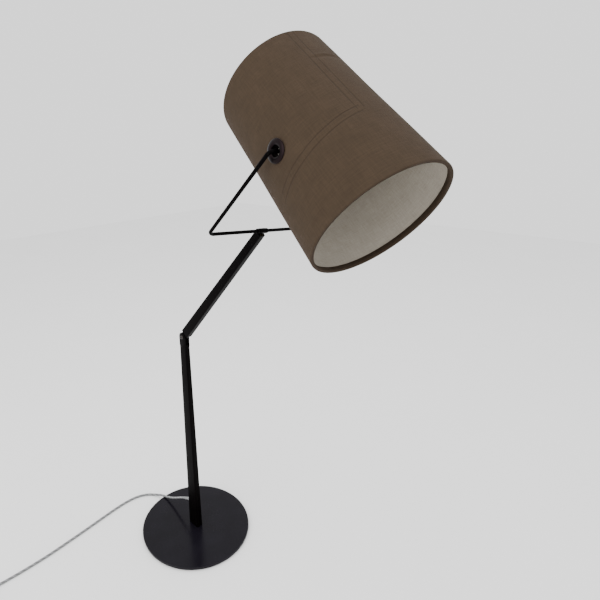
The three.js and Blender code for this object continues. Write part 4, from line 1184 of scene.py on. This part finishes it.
def build_tie():
    """The tie round the coil: a flat band in a rounded loop round the six turns."""
    s = bpy.context.scene.lamp_sizes
    coil = middle("cord_coil")
    low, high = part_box("cord_coil")
    mean = (high[0] - low[0]) / 2 - 3 * s.cord_radius
    outward = np.array([cos(TIE_ANGLE), sin(TIE_ANGLE), 0])
    place = Place(coil + mean * outward, (-sin(TIE_ANGLE), cos(TIE_ANGLE), 0), Z_AXIS)
    wide, tall = 6 * s.cord_radius + 0.0012, 4 * s.cord_radius + 0.0006
    loop = box_outline(wide, tall, 0.003, 8)
    inner = box_outline(wide - 0.0012, tall - 0.0008, 0.0026, 8)
    half = TIE_HALF_WIDTH
    rows = [(loop, -half), (loop, half), (inner, half), (inner, -half)]
    points = np.stack([np.column_stack([ring, np.full(len(ring), z)]) for ring, z in rows], 1)
    tie = surface("cord_tie", place.put(points), around=True, along=True)
    return finish_piece(tie, materials()["black_plastic"], "base", "black_plastic")


def build_switch_and_plug():
    """The inline switch with its rocker, the plug's body and its two round pins."""
    made = materials()
    pieces = []
    for node, width, body in (
        ("switch_lower_half", 0.0012, "base"), ("switch_upper_half", 0.0012, "base"),
        ("switch_rocker", 0.0004, "rocker"), ("plug_body", 0.0022, "base"),
    ):
        piece = finish_piece(softened(node, width, 4), made["black_plastic"], body, "black_plastic", node)
        pieces.append(piece)
    for k in (1, 2):
        low, high = (np.array(corner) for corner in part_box(f"plug_pin_{k}"))
        centre = (low + high) / 2
        radius, length = (high[1] - low[1]) / 2, high[0] - low[0]
        place = Place((low[0], centre[1], centre[2]), (1, 0, 0))
        tip = rounded([(0, 0), (radius, 0), (radius, length), (0, length)], radius * 0.7, 6)
        pin = turned(f"plug_pin_{k}_finished", tip, place, 32)
        pieces.append(finish_piece(pin, made["steel"], "base", "steel", f"plug_pin_{k}"))
    return pieces


def finish_frame():
    """Gives every CAD node that still shows its slot's material."""
    made = materials()
    for part in frame["record"]["subparts"]:
        node = frame["nodes"][part["node"]]
        for slot in node.material_slots:
            slot.material = made[part["material_slot"]]


# ------------------------------------------------------------------ stage
FLOOR_REACH = 4.0
FLOOR_DROP = 0.0002
WHITE = (1.0, 1.0, 1.0, 1.0)


def floor_material():
    """A pale matt floor with a very faint drift of tone."""
    made, shader, t = new_material("Pale Floor")
    set_shader(shader, Specular_IOR_Level=0.1)
    noise = t.add("ShaderNodeTexNoise", {"Vector": object_coords(t), "Scale": 3.0, "Detail": 3.0})
    link(t, t.mix(noise.outputs["Fac"], (0.9, 0.9, 0.9, 1.0), (0.93, 0.93, 0.93, 1.0)), shader, "Base Color")
    link(t, t.span(noise.outputs["Fac"], 0.2, 0.8, 0.85, 0.95), shader, "Roughness")
    return made


def area_light(name, power, extent, place, aim, tint):
    """A square soft light that is aimed at a point."""
    data = bpy.data.lights.new(name, "AREA")
    data.energy, data.size, data.color = power, extent, tint
    light = bpy.data.objects.new(name, data)
    light.location = place
    light.rotation_euler = (Vector(aim) - Vector(place)).to_track_quat("-Z", "Y").to_euler()
    bpy.context.scene.collection.objects.link(light)


def build_stage():
    """The floor, the pale surroundings, the two lights and the camera."""
    stage = bpy.context.scene.lamp_stage
    t = np.linspace(-FLOOR_REACH, FLOOR_REACH, 9)
    x, y = np.meshgrid(t, t, indexing="ij")
    floor = surface("floor", np.stack([x, y, 0 * x - FLOOR_DROP], -1))
    floor.data.materials.append(floor_material())
    world = bpy.data.worlds.new("Studio")
    world.use_nodes = True
    background = world.node_tree.nodes["Background"]
    background.inputs["Color"].default_value = WHITE
    background.inputs["Strength"].default_value = stage.sky
    bpy.context.scene.world = world
    area_light("key", stage.key, 1.6, (0.35, -1.9, 1.5), (0.25, 0.0, 0.4), (1.0, 0.98, 0.95))
    area_light("fill", stage.fill, 2.4, (0.3, 0.2, 2.6), (0.2, 0.0, 0.0), (0.98, 0.99, 1.0))
    ahead = cos(stage.pitch)
    forward = Vector((cos(stage.heading) * ahead, sin(stage.heading) * ahead, -sin(stage.pitch)))
    level = forward.cross(Vector((0, 0, 1))).normalized()
    over = level.cross(forward)
    right = level * cos(stage.roll) + over * sin(stage.roll)
    up = right.cross(forward)
    data = bpy.data.cameras.new("camera")
    data.lens, data.sensor_width = stage.lens, 36.0
    data.shift_x, data.shift_y = stage.shift_x, stage.shift_y
    data.clip_start = 0.01
    camera = bpy.data.objects.new("camera", data)
    turn = Matrix((right, up, -forward)).transposed().to_4x4()
    camera.matrix_world = Matrix.Translation(stage.camera_place) @ turn
    bpy.context.scene.collection.objects.link(camera)
    bpy.context.scene.camera = camera


# ------------------------------------------------------------------ operators and panel
class LAMP_OT_stage(bpy.types.Operator):
    """Adds the floor, the lights and the camera"""

    bl_idname = "lamp.stage"
    bl_label = "Stage"

    def execute(self, context):
        build_stage()
        return {"FINISHED"}


class LAMP_OT_cord(bpy.types.Operator):
    """Adds the cord, its sleeve, switch, tie and plug"""

    bl_idname = "lamp.cord"
    bl_label = "Cord"

    def execute(self, context):
        build_cord()
        return {"FINISHED"}


class LAMP_OT_foot(bpy.types.Operator):
    """Adds the round foot"""

    bl_idname = "lamp.foot"
    bl_label = "Foot"

    def execute(self, context):
        build_foot()
        return {"FINISHED"}


class LAMP_OT_boxes(bpy.types.Operator):
    """Adds the two tapered boxes"""

    bl_idname = "lamp.boxes"
    bl_label = "Stem and Arm"

    def execute(self, context):
        build_boxes()
        return {"FINISHED"}


class LAMP_OT_elbow(bpy.types.Operator):
    """Adds the knuckles, bolt, nut and washers"""

    bl_idname = "lamp.elbow"
    bl_label = "Elbow"

    def execute(self, context):
        build_elbow()
        return {"FINISHED"}


class LAMP_OT_fork(bpy.types.Operator):
    """Adds the fork, its collars and the tee"""

    bl_idname = "lamp.fork"
    bl_label = "Fork"

    def execute(self, context):
        build_fork()
        return {"FINISHED"}


class LAMP_OT_cloth(bpy.types.Operator):
    """Adds the canvas and the lining"""

    bl_idname = "lamp.cloth"
    bl_label = "Shade Cloth"

    def execute(self, context):
        build_cloth()
        return {"FINISHED"}


class LAMP_OT_eyelets(bpy.types.Operator):
    """Adds the two eyelets and their washers"""

    bl_idname = "lamp.eyelets"
    bl_label = "Eyelets"

    def execute(self, context):
        build_eyelets()
        return {"FINISHED"}


class LAMP_OT_lampholder(bpy.types.Operator):
    """Adds the bridge, lampholder, bulb and pivot bushes"""

    bl_idname = "lamp.lampholder"
    bl_label = "Lampholder"

    def execute(self, context):
        build_lampholder()
        return {"FINISHED"}


class LAMP_OT_frame_finish(bpy.types.Operator):
    """Finishes the CAD nodes that still show"""

    bl_idname = "lamp.frame_finish"
    bl_label = "Frame Finishes"

    def execute(self, context):
        finish_frame()
        return {"FINISHED"}


OPERATORS = [
    LAMP_OT_stage, LAMP_OT_cord, LAMP_OT_foot, LAMP_OT_boxes, LAMP_OT_elbow, LAMP_OT_fork, LAMP_OT_cloth,
    LAMP_OT_eyelets, LAMP_OT_lampholder, LAMP_OT_frame_finish,
]


class LAMP_PT_build(bpy.types.Panel):
    """Lists the lamp's sizes, finishes and pieces."""

    bl_idname = "LAMP_PT_build"
    bl_label = "Desk Lamp"
    bl_space_type = "VIEW_3D"
    bl_region_type = "UI"
    bl_category = "Desk Lamp"

    def draw(self, context):
        for holder in (context.scene.lamp_sizes, context.scene.lamp_finishes, context.scene.lamp_stage):
            box = self.layout.box()
            for name in holder.bl_rna.properties.keys():
                if name not in ("rna_type", "name"):
                    box.prop(holder, name)
        for made in OPERATORS:
            self.layout.operator(made.bl_idname)


CLASSES = [LampFinishes, LampSizes, LampStage, *OPERATORS, LAMP_PT_build]


def register():
    """Adds the lamp's classes, and its sizes and finishes as settings of the scene."""
    for made in CLASSES:
        bpy.utils.register_class(made)
    bpy.types.Scene.lamp_finishes = bpy.props.PointerProperty(type=LampFinishes)
    bpy.types.Scene.lamp_sizes = bpy.props.PointerProperty(type=LampSizes)
    bpy.types.Scene.lamp_stage = bpy.props.PointerProperty(type=LampStage)


def unregister():
    """Takes them away again."""
    del bpy.types.Scene.lamp_stage
    del bpy.types.Scene.lamp_sizes
    del bpy.types.Scene.lamp_finishes
    for made in reversed(CLASSES):
        bpy.utils.unregister_class(made)


def main():
    """Builds the lamp round its frame."""
    register()
    for build in (
        bpy.ops.lamp.stage, bpy.ops.lamp.cord, bpy.ops.lamp.foot, bpy.ops.lamp.boxes, bpy.ops.lamp.elbow,
        bpy.ops.lamp.fork, bpy.ops.lamp.cloth, bpy.ops.lamp.eyelets, bpy.ops.lamp.lampholder,
        bpy.ops.lamp.frame_finish,
    ):
        build()


if __name__ == "__main__":
    main()
